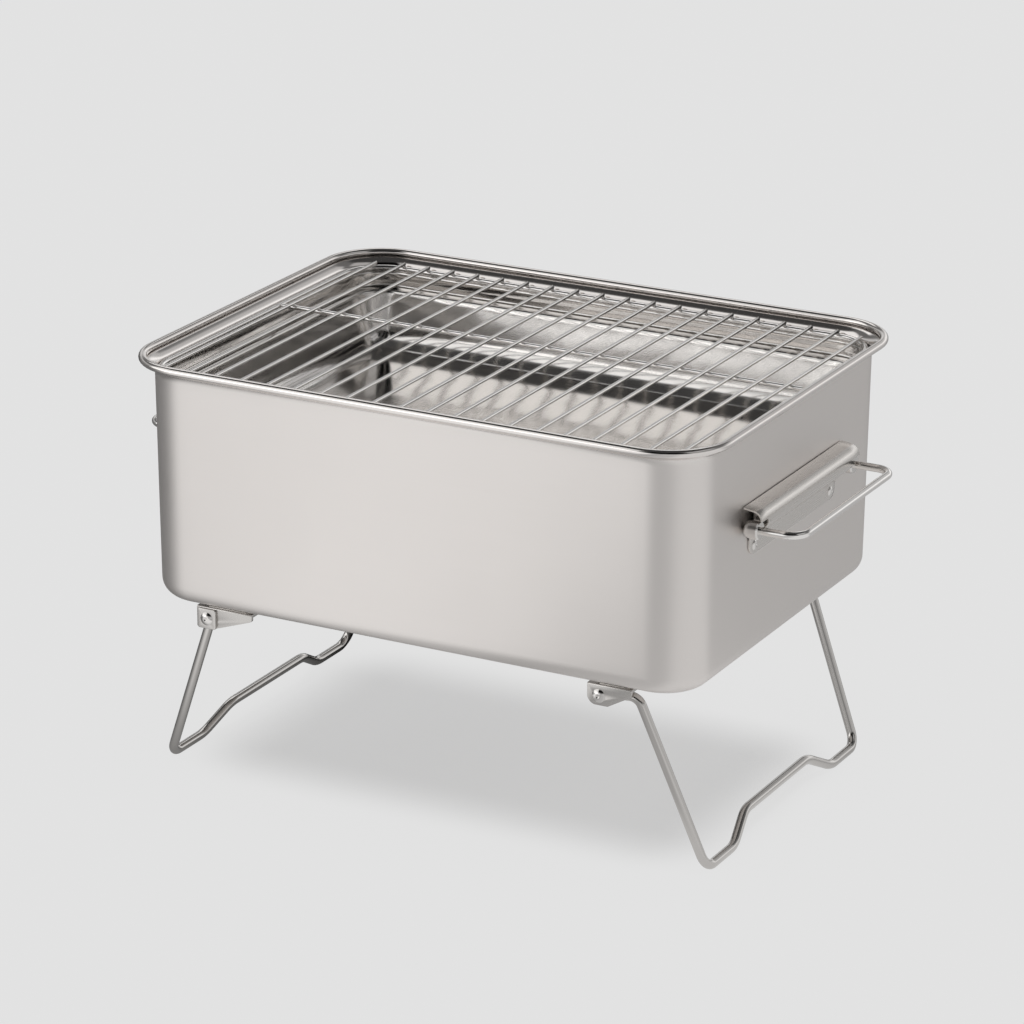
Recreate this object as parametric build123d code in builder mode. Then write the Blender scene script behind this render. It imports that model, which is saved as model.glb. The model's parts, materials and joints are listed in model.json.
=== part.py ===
from build123d import *
import os
from math import atan2, degrees, sqrt

# Folding charcoal grill: a deep-drawn steel tub on two folding wire legs, with two drop
# handles, a charcoal pan that lifts out and a wire cooking grate that lifts out of it.
# The long side runs along X, the front looks towards -Y and the ground is z = 0.

os.makedirs("parts", exist_ok=True)

# Driving dimensions, in millimetres: the tub
RIM_LENGTH = 400.0
RIM_WIDTH = 302.0
TUB_HEIGHT = 158.0
LEG_HEIGHT = 118.0
SHEET = 1.0
RIM_ROLL_R = 2.7
RIM_FLARE_R = 7.3
RIM_ROLL_TURN = 285.0
WALL_CORNER_R = 32.0
WALL_DRAFT = 1.7
TUB_BOTTOM_R = 12.0

# The charcoal pan
PAN_GAP = 1.6
PAN_LIP_DROP = 12.2
PAN_LIP_HEIGHT = 10.8
PAN_HEM_R = 1.0
PAN_HEM_LENGTH = 4.0
PAN_SHELF_WIDTH = 10.0
PAN_DEPTH = 38.0
PAN_TAPER = 9.0
PAN_BOTTOM_R = 17.0
PAN_FOLD_R = 2.0
CLIP_X = 115.0
CLIP_LENGTH = 16.0
CLIP_REACH = 7.0
CLIP_HEIGHT = 12.0
CLIP_SHEET = 1.2

# The cooking grate
FRAME_WIRE_R = 2.0
BAR_WIRE_R = 1.2
BAR_COUNT = 20
BAR_INSET = 10.6
BAR_OVERRUN = 1.4
BRACE_WIRE_R = 1.6
BRACE_Y = 25.0

# The wire legs
LEG_WIRE_R = 3.0
LEG_BEND_R = 8.0
STEP_BEND_R = 6.0
FOOT_X = 189.0
FOOT_Y = 111.0
STEP_OUTER_Y = 66.0
STEP_INNER_Y = 49.0
STEP_RISE = 14.0
PIVOT_DROP = 10.5
LEFT_PIVOT_X = 150.0
RIGHT_PIVOT_X = 123.0
KNEE_OUT = 24.0
KNEE_DROP = 8.3
EYE_R = 5.0
EYE_THICKNESS = 5.0

# The leg brackets and their pivot pins
EAR_Y = 126.5
BRACKET_SHEET = 2.0
BRACKET_WIDTH = 14.0
PAD_THICKNESS = 3.0
PAD_MARGIN = 3.0
EAR_END = 7.7
EAR_DEPTH = 6.0
EAR_TIP_HEIGHT = 4.5
LEFT_EAR_REACH = 32.0
RIGHT_EAR_REACH = 22.0
PIVOT_PIN_R = 2.25
PIVOT_HEAD_R = 4.3
PIVOT_HEAD_HEIGHT = 1.6
PIVOT_PLATE_SIZE = 13.0
PIVOT_PLATE_SHEET = 1.5
RUNNING_FIT = 0.06
SEAT_GAP = 0.01
SIDE_PLAY = 0.3

# The drop handles under their sheet hoods
HANDLE_DROP = 68.5
HANDLE_HALF = 69.5
GRIP_WIRE_R = 2.5
GRIP_REACH = 31.0
GRIP_BEND_R = 11.0
BARREL_R = 5.7
BARREL_FRONT_R = 3.9
BARREL_FRONT = 4.9
BARREL_STRAIGHT = 1.6
PIVOT_OUT = 6.1
ROD_R = 1.75
HOOD_SHEET = 1.2
HOOD_HALF = 73.5
HOOD_PLATE_HALF = 62.5
HOOD_TOP = 13.0
HOOD_SLOPE = 1.8
HOOD_NOSE = 12.5
HOOD_NOSE_R = 6.0
HOOD_NOSE_BOTTOM = 1.5
HOOD_FOLD = 9.5
HOOD_FOLD_R = 5.0
HOOD_PLATE_BOTTOM = 20.5
HOOD_CORNER_R = 7.0
ROD_TAB_Y = 59.0
ROD_TAB_GAP = 2.2
RIVET_R = 1.6
RIVET_HEAD_R = 3.3
RIVET_HEAD_HEIGHT = 1.5
RIVET_TAIL_HEIGHT = 1.0
HOOD_RIVET_Y = 55.5
HOOD_RIVET_DROP = 15.0

# Places that follow from them
RIM_TOP = LEG_HEIGHT + TUB_HEIGHT
ROLL_X = RIM_LENGTH / 2 - RIM_ROLL_R
ROLL_Y = RIM_WIDTH / 2 - RIM_ROLL_R
ROLL_Z = RIM_TOP - RIM_ROLL_R
WALL_X = ROLL_X - RIM_FLARE_R
WALL_Y = ROLL_Y - RIM_FLARE_R
WALL_TOP = ROLL_Z - RIM_ROLL_R - RIM_FLARE_R
WALL_DEPTH = WALL_TOP - LEG_HEIGHT
DRAFT_ANGLE = degrees(atan2(WALL_DRAFT, WALL_DEPTH))


def wall_inset(height):
    """How far the drafted wall stands inside its top edge at this height"""
    return WALL_DRAFT * (WALL_TOP - height) / WALL_DEPTH


def rounded_loop(half_x, half_y, radius, height):
    """Closed line round a rounded rectangle, from the middle of its right side"""
    with BuildLine(Plane.XY.offset(height)) as loop:
        Line((half_x, 0), (half_x, half_y - radius))
        CenterArc((half_x - radius, half_y - radius), radius, 0, 90)
        Line((half_x - radius, half_y), (radius - half_x, half_y))
        CenterArc((radius - half_x, half_y - radius), radius, 90, 90)
        Line((-half_x, half_y - radius), (-half_x, radius - half_y))
        CenterArc((radius - half_x, radius - half_y), radius, 180, 90)
        Line((radius - half_x, -half_y), (half_x - radius, -half_y))
        CenterArc((half_x - radius, radius - half_y), radius, 270, 90)
        Line((half_x, radius - half_y), (half_x, 0))
    return loop.wire()


def drawn_block(half_x, half_y, corner_r, top, depth, taper, bottom_r):
    """Solid form of a deep drawing: it narrows downwards and its bottom edge is round"""
    with BuildPart() as block:
        with BuildSketch(Plane.XY.offset(top)):
            RectangleRounded(2 * half_x, 2 * half_y, corner_r)
        with BuildSketch(Plane.XY.offset(top - depth)):
            RectangleRounded(2 * (half_x - taper), 2 * (half_y - taper), corner_r - taper)
        loft(ruled=True)
        fillet(block.faces().sort_by(Axis.Z)[0].edges(), bottom_r)
    return block.part


def rivet(seat, grip, shank_r, head_r, head_height, tail_height):
    """Rivet on a seat plane that looks outwards: domed head, shank and flat tail"""
    dome_r = (head_r**2 + head_height**2) / (2 * head_height)
    profile = Plane(seat.origin, x_dir=seat.x_dir, z_dir=-seat.y_dir)
    with BuildPart() as rivet_solid:
        with BuildSketch(profile):
            with BuildLine():
                RadiusArc((head_r, 0), (0, head_height), -dome_r)
                Line((0, head_height), (0, -grip - tail_height))
                Line((0, -grip - tail_height), (head_r, -grip - tail_height))
                Line((head_r, -grip - tail_height), (head_r, -grip))
                Line((head_r, -grip), (shank_r, -grip))
                Line((shank_r, -grip), (shank_r, 0))
                Line((shank_r, 0), (head_r, 0))
            make_face()
        revolve(axis=Axis(seat.origin, seat.z_dir))
    return rivet_solid.part


# The rivets that hold the hoods stand square to the drafted end walls
PIVOT_Z = RIM_TOP - HANDLE_DROP
RIVET_Z = PIVOT_Z - HOOD_RIVET_DROP
HOOD_X = WALL_X - wall_inset(PIVOT_Z)
HANDLE_PIVOT_X = HOOD_X + PIVOT_OUT
WALL_NORMAL = Vector(1, 0, 0).rotate(Axis.Y, DRAFT_ANGLE)
RIVET_FOOT = Vector(WALL_X - wall_inset(RIVET_Z), 0, RIVET_Z)
RIVET_SEAT = RIVET_FOOT + WALL_NORMAL * (HOOD_SHEET + 2 * SEAT_GAP)
RIVET_SEATS = [
    Plane(RIVET_SEAT + Vector(0, y, 0), x_dir=(0, 1, 0), z_dir=WALL_NORMAL)
    for y in (-HOOD_RIVET_Y, HOOD_RIVET_Y)
]

with BuildPart() as rivet_holes:
    for seat in RIVET_SEATS:
        with BuildSketch(seat):
            Circle(RIVET_R)
        extrude(amount=-HOOD_SHEET - 3 * SHEET)

# Tub: drafted walls, a round bottom edge, and a rim that flares out and rolls over
tub_outside = drawn_block(
    WALL_X, WALL_Y, WALL_CORNER_R, WALL_TOP, WALL_DEPTH, WALL_DRAFT, TUB_BOTTOM_R
)
tub_inside = drawn_block(
    WALL_X - SHEET,
    WALL_Y - SHEET,
    WALL_CORNER_R - SHEET,
    WALL_TOP,
    WALL_DEPTH - SHEET,
    wall_inset(LEG_HEIGHT + SHEET),
    TUB_BOTTOM_R - SHEET,
)
rim_loop = rounded_loop(ROLL_X, ROLL_Y, WALL_CORNER_R + RIM_FLARE_R, WALL_TOP)

with BuildPart() as tub_shell:
    add(tub_outside)
    add(tub_inside, mode=Mode.SUBTRACT)
    for turn in (0, 180):
        add(rivet_holes.part, rotation=(0, 0, turn), mode=Mode.SUBTRACT)
    with BuildSketch(Plane.XZ):
        with BuildLine():
            CenterArc((ROLL_X, WALL_TOP), RIM_FLARE_R + SHEET / 2, 180, -90)
            CenterArc((ROLL_X, ROLL_Z), RIM_ROLL_R - SHEET / 2, -90, RIM_ROLL_TURN)
        trace(line_width=SHEET)
    sweep(path=rim_loop)
tub_shell.part.label = "tub_shell"
export_step(tub_shell.part, "parts/tub_shell.step")

# Pan clips: four small angles spot-welded inside the long walls, under the pan's shelf
PAN_LIP_TOP = RIM_TOP - PAN_LIP_DROP
PAN_SHELF_TOP = PAN_LIP_TOP - PAN_LIP_HEIGHT
CLIP_TOP = PAN_SHELF_TOP - SHEET
CLIP_BOTTOM = CLIP_TOP - CLIP_HEIGHT
INNER_Y = WALL_Y - SHEET
CLIP_FACE_Y = CLIP_SHEET / 2 + 2 * SEAT_GAP - INNER_Y

with BuildPart() as pan_clips:
    with BuildSketch(Plane.YZ.offset(CLIP_X - CLIP_LENGTH / 2)):
        with BuildLine():
            FilletPolyline(
                (CLIP_FACE_Y + wall_inset(CLIP_BOTTOM), CLIP_BOTTOM),
                (CLIP_FACE_Y + wall_inset(CLIP_TOP), CLIP_TOP - CLIP_SHEET / 2),
                (CLIP_REACH - INNER_Y, CLIP_TOP - CLIP_SHEET / 2),
                radius=CLIP_SHEET,
            )
        trace(line_width=CLIP_SHEET)
    extrude(amount=CLIP_LENGTH)
    mirror(about=Plane.YZ)
    mirror(about=Plane.XZ)
pan_clips.part.label = "pan_clips"
export_step(pan_clips.part, "parts/pan_clips.step")

# Charcoal pan: a drawn bowl with a shelf round its mouth and an upright hemmed lip
LIP_X = INNER_Y - WALL_Y + WALL_X - wall_inset(PAN_SHELF_TOP) - PAN_GAP
LIP_Y = INNER_Y - wall_inset(PAN_SHELF_TOP) - PAN_GAP
LIP_CORNER_R = WALL_CORNER_R - SHEET - PAN_GAP
MOUTH_X = LIP_X - PAN_SHELF_WIDTH
MOUTH_Y = LIP_Y - PAN_SHELF_WIDTH
MOUTH_CORNER_R = LIP_CORNER_R - PAN_SHELF_WIDTH
bowl_outside = drawn_block(
    MOUTH_X + SHEET,
    MOUTH_Y + SHEET,
    MOUTH_CORNER_R + SHEET,
    PAN_SHELF_TOP,
    PAN_DEPTH,
    PAN_TAPER,
    PAN_BOTTOM_R,
)
bowl_inside = drawn_block(
    MOUTH_X,
    MOUTH_Y,
    MOUTH_CORNER_R,
    PAN_SHELF_TOP,
    PAN_DEPTH - SHEET,
    PAN_TAPER,
    PAN_BOTTOM_R - SHEET,
)
lip_loop = rounded_loop(LIP_X, LIP_Y, LIP_CORNER_R, PAN_SHELF_TOP)

with BuildPart() as charcoal_pan:
    add(bowl_outside)
    add(bowl_inside, mode=Mode.SUBTRACT)
    with BuildSketch(Plane.XZ):
        with BuildLine():
            lip = FilletPolyline(
                (MOUTH_X, PAN_SHELF_TOP - SHEET / 2),
                (LIP_X - SHEET / 2, PAN_SHELF_TOP - SHEET / 2),
                (LIP_X - SHEET / 2, PAN_LIP_TOP - SHEET / 2 - PAN_HEM_R),
                radius=PAN_FOLD_R,
            )
            hem = CenterArc((LIP_X - SHEET / 2 - PAN_HEM_R, (lip @ 1).Y), PAN_HEM_R, 0, 180)
            Line(hem @ 1, hem @ 1 - Vector(0, PAN_HEM_LENGTH))
        trace(line_width=SHEET)
    sweep(path=lip_loop)
charcoal_pan.part.label = "charcoal_pan"
export_step(charcoal_pan.part, "parts/charcoal_pan.step")

# Cooking grate: a frame wire that stands on the pan's hem, bars across it and a brace
FRAME_X = LIP_X - SHEET / 2 - PAN_HEM_R
FRAME_Y = LIP_Y - SHEET / 2 - PAN_HEM_R
FRAME_CORNER_R = LIP_CORNER_R - SHEET / 2 - PAN_HEM_R
FRAME_Z = PAN_LIP_TOP + FRAME_WIRE_R
BAR_Z = FRAME_Z + FRAME_WIRE_R + BAR_WIRE_R
BRACE_Z = BAR_Z - BAR_WIRE_R - BRACE_WIRE_R
BAR_PITCH = 2 * (FRAME_X - BAR_INSET) / (BAR_COUNT - 1)


def bar_half_length(x):
    """Half the length of the bar at x, which follows the frame's round corners"""
    beyond = max(0.0, abs(x) - (FRAME_X - FRAME_CORNER_R))
    corner = FRAME_CORNER_R - sqrt(FRAME_CORNER_R**2 - beyond**2)
    return FRAME_Y - corner + BAR_OVERRUN


frame_loop = rounded_loop(FRAME_X, FRAME_Y, FRAME_CORNER_R, FRAME_Z)
with BuildPart() as grate_frame:
    with BuildSketch(Plane.XZ):
        with Locations((FRAME_X, FRAME_Z)):
            Circle(FRAME_WIRE_R)
    sweep(path=frame_loop)
grate_frame.part.label = "grate_frame"
export_step(grate_frame.part, "parts/grate_frame.step")

with BuildPart() as grate_bars:
    for index in range(BAR_COUNT):
        bar_x = (index - (BAR_COUNT - 1) / 2) * BAR_PITCH
        with BuildSketch(Plane.XZ):
            with Locations((bar_x, BAR_Z)):
                Circle(BAR_WIRE_R)
        extrude(amount=bar_half_length(bar_x), both=True)
grate_bars.part.label = "grate_bars"
export_step(grate_bars.part, "parts/grate_bars.step")

with BuildPart() as grate_brace:
    with BuildSketch(Plane.YZ):
        with Locations((BRACE_Y, BRACE_Z)):
            Circle(BRACE_WIRE_R)
    extrude(amount=FRAME_X - FRAME_WIRE_R, both=True)
grate_brace.part.label = "grate_brace"
export_step(grate_brace.part, "parts/grate_brace.step")

# Leg brackets: a pad on the tub's underside, a web against it and an ear for the pin
LEG_PIVOT_Z = LEG_HEIGHT - PIVOT_DROP
WEB_TOP = LEG_HEIGHT - PAD_THICKNESS
EYE_Y = EAR_Y - BRACKET_SHEET - SIDE_PLAY - LEG_WIRE_R
FRONT_EAR = Plane((0, -EAR_Y, 0), x_dir=(1, 0, 0), z_dir=(0, -1, 0))


def leg_bracket(pivot_x, reach, has_stop_tab):
    """Front bracket: the web and the tapered ear, with a stop tab on the left leg's"""
    left = pivot_x - EAR_END
    low = LEG_PIVOT_Z - EAR_DEPTH
    with BuildPart() as bracket:
        with BuildSketch(FRONT_EAR) as ear:
            with BuildLine():
                Polyline(
                    (left, WEB_TOP),
                    (left, low),
                    (pivot_x + EAR_DEPTH, low),
                    (pivot_x + reach, WEB_TOP - EAR_TIP_HEIGHT),
                    (pivot_x + reach, WEB_TOP),
                    close=True,
                )
            make_face()
            if not has_stop_tab:
                fillet(ear.vertices().sort_by(Axis.X).sort_by(Axis.Y)[0], EAR_DEPTH)
            fillet(ear.vertices().group_by(Axis.X)[-1].sort_by(Axis.Y)[0], EAR_DEPTH / 3)
        extrude(amount=-BRACKET_SHEET)
        with BuildSketch(Plane.XY.offset(WEB_TOP)):
            with Locations((left, -EAR_Y)):
                Rectangle(reach + EAR_END, BRACKET_WIDTH, align=(Align.MIN, Align.MIN))
        extrude(amount=-BRACKET_SHEET)
        if has_stop_tab:
            with BuildSketch(Plane.YZ.offset(left)):
                with Locations((-EAR_Y, WEB_TOP)):
                    Rectangle(BRACKET_WIDTH, WEB_TOP - low, align=(Align.MIN, Align.MAX))
            extrude(amount=BRACKET_SHEET)
        top_edges = bracket.edges().filter_by(Axis.X).group_by(Axis.Z)[-1]
        fillet(top_edges.sort_by(Axis.Y)[0], BRACKET_SHEET / 2)
        with BuildSketch(FRONT_EAR):
            with Locations((pivot_x, LEG_PIVOT_Z)):
                Circle(PIVOT_PIN_R)
        extrude(amount=-BRACKET_SHEET, mode=Mode.SUBTRACT)
    return bracket.part


left_bracket = leg_bracket(-LEFT_PIVOT_X, LEFT_EAR_REACH, True)
right_bracket = leg_bracket(RIGHT_PIVOT_X, RIGHT_EAR_REACH, False)

with BuildPart() as leg_bracket_front_left:
    add(left_bracket)
leg_bracket_front_left.part.label = "leg_bracket_front_left"
export_step(leg_bracket_front_left.part, "parts/leg_bracket_front_left.step")

with BuildPart() as leg_bracket_back_left:
    mirror(left_bracket, about=Plane.XZ)
leg_bracket_back_left.part.label = "leg_bracket_back_left"
export_step(leg_bracket_back_left.part, "parts/leg_bracket_back_left.step")

with BuildPart() as leg_bracket_front_right:
    add(right_bracket)
leg_bracket_front_right.part.label = "leg_bracket_front_right"
export_step(leg_bracket_front_right.part, "parts/leg_bracket_front_right.step")

with BuildPart() as leg_bracket_back_right:
    mirror(right_bracket, about=Plane.XZ)
leg_bracket_back_right.part.label = "leg_bracket_back_right"
export_step(leg_bracket_back_right.part, "parts/leg_bracket_back_right.step")

with BuildPart() as bracket_pads:
    for pivot_x, reach in ((-LEFT_PIVOT_X, LEFT_EAR_REACH), (RIGHT_PIVOT_X, RIGHT_EAR_REACH)):
        with BuildSketch(Plane.XY.offset(WEB_TOP)):
            with Locations((pivot_x - PAD_MARGIN, PAD_MARGIN - EAR_Y)):
                RectangleRounded(
                    reach,
                    BRACKET_WIDTH - PAD_MARGIN,
                    PAD_MARGIN,
                    align=(Align.MIN, Align.MIN),
                )
        extrude(amount=PAD_THICKNESS)
    mirror(about=Plane.XZ)
bracket_pads.part.label = "bracket_pads"
export_step(bracket_pads.part, "parts/bracket_pads.step")

# Square plates under the heads of the left leg's pins, outside the ears
PLATE_PLANE = FRONT_EAR.offset(PIVOT_PLATE_SHEET)
with BuildPart() as leg_left_pivot_plates:
    with BuildSketch(PLATE_PLANE):
        with Locations((-LEFT_PIVOT_X, LEG_PIVOT_Z)):
            RectangleRounded(PIVOT_PLATE_SIZE, PIVOT_PLATE_SIZE, PIVOT_PLATE_SHEET)
            Circle(PIVOT_PIN_R, mode=Mode.SUBTRACT)
    extrude(amount=-PIVOT_PLATE_SHEET)
    mirror(about=Plane.XZ)
leg_left_pivot_plates.part.label = "leg_left_pivot_plates"
export_step(leg_left_pivot_plates.part, "parts/leg_left_pivot_plates.step")


def pivot_pins(pivot_x, packing):
    """Front and back pins of one leg: through the plate, the ear and the leg's eye"""
    grip = packing + BRACKET_SHEET + 2 * LEG_WIRE_R + 3 * SIDE_PLAY
    seat = Plane((pivot_x, -EAR_Y - packing, LEG_PIVOT_Z), x_dir=(1, 0, 0), z_dir=(0, -1, 0))
    with BuildPart() as pins:
        add(rivet(seat, grip, PIVOT_PIN_R, PIVOT_HEAD_R, PIVOT_HEAD_HEIGHT, PIVOT_HEAD_HEIGHT))
        mirror(about=Plane.XZ)
    return pins.part


with BuildPart() as leg_left_pivot_pins:
    add(pivot_pins(-LEFT_PIVOT_X, PIVOT_PLATE_SHEET))
leg_left_pivot_pins.part.label = "leg_left_pivot_pins"
export_step(leg_left_pivot_pins.part, "parts/leg_left_pivot_pins.step")

with BuildPart() as leg_right_pivot_pins:
    add(pivot_pins(RIGHT_PIVOT_X, 0.0))
leg_right_pivot_pins.part.label = "leg_right_pivot_pins"
export_step(leg_right_pivot_pins.part, "parts/leg_right_pivot_pins.step")

# Wire legs: an eye at each end, a slanting side, and a foot whose middle is raised
FOOT_Z = LEG_WIRE_R


def wire_leg(pivot_x, foot_x, knees):
    """One leg bent from a single wire, with its knees, if any, beside the eyes"""
    eye = Vector(pivot_x, -EYE_Y, LEG_PIVOT_Z)
    top = knees if knees else eye
    corner = Vector(foot_x, -FOOT_Y, FOOT_Z)
    slope = Vector(top.X - foot_x, 0, top.Z - FOOT_Z).normalized()
    step_out = Vector(foot_x, -STEP_OUTER_Y, FOOT_Z)
    step_in = Vector(foot_x, -STEP_INNER_Y, FOOT_Z) + slope * STEP_RISE
    first = (top - eye if knees else corner - eye).normalized()
    half = [eye + first * LEG_WIRE_R] + ([top] if knees else []) + [corner, step_out, step_in]
    points = half + [Vector(p.X, -p.Y, p.Z) for p in reversed(half)]
    radii = ([LEG_BEND_R] if knees else []) + [LEG_BEND_R, STEP_BEND_R, STEP_BEND_R]
    with BuildPart() as leg:
        with BuildLine() as route:
            FilletPolyline(*points, radius=radii + radii[::-1])
        with BuildSketch(Plane(points[0], z_dir=first)):
            Circle(LEG_WIRE_R)
        sweep(path=route.wire())
        for side in (-1, 1):
            with BuildSketch(Plane((pivot_x, side * EYE_Y, LEG_PIVOT_Z), z_dir=(0, 1, 0))):
                Circle(EYE_R)
            extrude(amount=EYE_THICKNESS / 2, both=True)
        for side in (-1, 1):
            with BuildSketch(Plane((pivot_x, side * EYE_Y, LEG_PIVOT_Z), z_dir=(0, 1, 0))):
                Circle(PIVOT_PIN_R + RUNNING_FIT)
            extrude(amount=LEG_WIRE_R, both=True, mode=Mode.SUBTRACT)
    return leg.part


with BuildPart() as leg_left_wire:
    add(wire_leg(-LEFT_PIVOT_X, -FOOT_X, None))
leg_left_wire.part.label = "leg_left_wire"
export_step(leg_left_wire.part, "parts/leg_left_wire.step")

KNEE = Vector(RIGHT_PIVOT_X + KNEE_OUT, -EYE_Y, LEG_HEIGHT - KNEE_DROP)
with BuildPart() as leg_right_wire:
    add(wire_leg(RIGHT_PIVOT_X, FOOT_X, KNEE))
leg_right_wire.part.label = "leg_right_wire"
export_step(leg_right_wire.part, "parts/leg_right_wire.step")

# Handle hood: a roof from the wall, a rounded nose, and a fold back to a riveted plate
HOOD_PLATE_Z = PIVOT_Z - HOOD_PLATE_BOTTOM
ROOF_POINTS = [
    (HOOD_X + HOOD_SHEET / 2, PIVOT_Z + HOOD_TOP),
    (HOOD_X + HOOD_NOSE, PIVOT_Z + HOOD_TOP - HOOD_SLOPE),
]
FOLD_Z = PIVOT_Z - HOOD_FOLD
PLATE_POINTS = [
    (HOOD_X + HOOD_NOSE, PIVOT_Z + HOOD_NOSE_BOTTOM),
    (WALL_X - wall_inset(FOLD_Z) + HOOD_SHEET / 2 + SEAT_GAP, FOLD_Z),
    (WALL_X - wall_inset(HOOD_PLATE_Z) + HOOD_SHEET / 2 + SEAT_GAP, HOOD_PLATE_Z),
]
NOSE_END = (HOOD_X + HOOD_NOSE, PIVOT_Z + GRIP_WIRE_R + 2 * SIDE_PLAY)
SECTION_RADII = [HOOD_NOSE_R, HOOD_FOLD_R, HOOD_FOLD_R]

with BuildPart() as handle_right_hood:
    with BuildSketch(Plane.XZ):
        with BuildLine():
            FilletPolyline(*ROOF_POINTS, NOSE_END, radius=HOOD_NOSE_R)
        trace(line_width=HOOD_SHEET)
    extrude(amount=HOOD_HALF, both=True)
    with BuildSketch(Plane.XZ):
        with BuildLine():
            FilletPolyline(*ROOF_POINTS, *PLATE_POINTS, radius=SECTION_RADII)
        trace(line_width=HOOD_SHEET)
    extrude(amount=HOOD_PLATE_HALF, both=True)
    plate_corners = handle_right_hood.edges().sort_by(Axis.Z)[:4]
    fillet(plate_corners.filter_by(lambda edge: edge.length < 2 * HOOD_SHEET), HOOD_CORNER_R)
    for side in (-1, 1):
        with BuildSketch(Plane.XZ.offset(side * ROD_TAB_Y)):
            with BuildLine():
                lug = FilletPolyline(*ROOF_POINTS, *PLATE_POINTS[:2], radius=SECTION_RADII[:2])
                Line(lug @ 1, lug @ 0)
            make_face()
            with Locations((HOOD_X + ROD_TAB_GAP, PIVOT_Z)):
                Rectangle(
                    HOOD_NOSE,
                    2 * (HOOD_TOP + HOOD_SHEET),
                    align=(Align.MIN, Align.CENTER),
                    mode=Mode.INTERSECT,
                )
        extrude(amount=side * HOOD_SHEET)
    with BuildSketch(Plane.XZ):
        with Locations((HANDLE_PIVOT_X, PIVOT_Z)):
            Circle(ROD_R + RUNNING_FIT)
    extrude(amount=ROD_TAB_Y + 2 * HOOD_SHEET, both=True, mode=Mode.SUBTRACT)
    add(rivet_holes.part, mode=Mode.SUBTRACT)
handle_right_hood.part.label = "handle_right_hood"
export_step(handle_right_hood.part, "parts/handle_right_hood.step")

with BuildPart() as handle_left_hood:
    mirror(handle_right_hood.part, about=Plane.YZ)
handle_left_hood.part.label = "handle_left_hood"
export_step(handle_left_hood.part, "parts/handle_left_hood.step")

RIVET_GRIP = HOOD_SHEET + SHEET + 2 * SEAT_GAP
with BuildPart() as handle_right_rivets:
    for seat in RIVET_SEATS:
        add(rivet(seat, RIVET_GRIP, RIVET_R, RIVET_HEAD_R, RIVET_HEAD_HEIGHT, RIVET_TAIL_HEIGHT))
handle_right_rivets.part.label = "handle_right_rivets"
export_step(handle_right_rivets.part, "parts/handle_right_rivets.step")

with BuildPart() as handle_left_rivets:
    mirror(handle_right_rivets.part, about=Plane.YZ)
handle_left_rivets.part.label = "handle_left_rivets"
export_step(handle_left_rivets.part, "parts/handle_left_rivets.step")

# Grip: a round wire bent into a bail, with its ends set into two turned barrels
WIRE_SEAT = ROD_R + SIDE_PLAY
BARREL_Y = HANDLE_HALF
GRIP_X = HANDLE_PIVOT_X + GRIP_REACH

with BuildPart() as handle_right_grip:
    with BuildLine() as route:
        FilletPolyline(
            (HANDLE_PIVOT_X + WIRE_SEAT, -BARREL_Y, PIVOT_Z),
            (GRIP_X, -BARREL_Y, PIVOT_Z),
            (GRIP_X, BARREL_Y, PIVOT_Z),
            (HANDLE_PIVOT_X + WIRE_SEAT, BARREL_Y, PIVOT_Z),
            radius=GRIP_BEND_R,
        )
    with BuildSketch(Plane((HANDLE_PIVOT_X + WIRE_SEAT, -BARREL_Y, PIVOT_Z), z_dir=(1, 0, 0))):
        Circle(GRIP_WIRE_R)
    sweep(path=route.wire())
handle_right_grip.part.label = "handle_right_grip"
export_step(handle_right_grip.part, "parts/handle_right_grip.step")

with BuildPart() as handle_left_grip:
    mirror(handle_right_grip.part, about=Plane.YZ)
handle_left_grip.part.label = "handle_left_grip"
export_step(handle_left_grip.part, "parts/handle_left_grip.step")

BARREL_MIDDLE = (HANDLE_PIVOT_X, BARREL_Y, PIVOT_Z)
with BuildPart() as handle_right_barrels:
    with BuildSketch(Plane(BARREL_MIDDLE, x_dir=(1, 0, 0), z_dir=(0, -1, 0))):
        with BuildLine():
            CenterArc((0, 0), BARREL_R, 90, 90)
            Line((0, BARREL_R), (BARREL_STRAIGHT, BARREL_R))
            Line((BARREL_STRAIGHT, BARREL_R), (BARREL_FRONT, BARREL_FRONT_R))
            Line((BARREL_FRONT, BARREL_FRONT_R), (BARREL_FRONT, GRIP_WIRE_R))
            Line((BARREL_FRONT, GRIP_WIRE_R), (WIRE_SEAT, GRIP_WIRE_R))
            Line((WIRE_SEAT, GRIP_WIRE_R), (WIRE_SEAT, 0))
            Line((WIRE_SEAT, 0), (-BARREL_R, 0))
        make_face()
    revolve(axis=Axis(BARREL_MIDDLE, (1, 0, 0)))
    with BuildSketch(Plane(BARREL_MIDDLE, z_dir=(0, -1, 0))):
        Circle(ROD_R)
    extrude(amount=2 * BARREL_R, mode=Mode.SUBTRACT)
    mirror(about=Plane.XZ)
handle_right_barrels.part.label = "handle_right_barrels"
export_step(handle_right_barrels.part, "parts/handle_right_barrels.step")

with BuildPart() as handle_left_barrels:
    mirror(handle_right_barrels.part, about=Plane.YZ)
handle_left_barrels.part.label = "handle_left_barrels"
export_step(handle_left_barrels.part, "parts/handle_left_barrels.step")

with BuildPart() as handle_right_rod:
    with BuildSketch(Plane.XZ):
        with Locations((HANDLE_PIVOT_X, PIVOT_Z)):
            Circle(ROD_R)
    extrude(amount=BARREL_Y, both=True)
handle_right_rod.part.label = "handle_right_rod"
export_step(handle_right_rod.part, "parts/handle_right_rod.step")

with BuildPart() as handle_left_rod:
    mirror(handle_right_rod.part, about=Plane.YZ)
handle_left_rod.part.label = "handle_left_rod"
export_step(handle_left_rod.part, "parts/handle_left_rod.step")
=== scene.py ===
"""Look of a folding charcoal grill: a drawn steel tub on wire legs, a pan, a wire grate and drop handles.

Every length is in metres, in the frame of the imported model: the long side runs along X, the
front looks towards -Y and the ground is at zero.
"""

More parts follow.
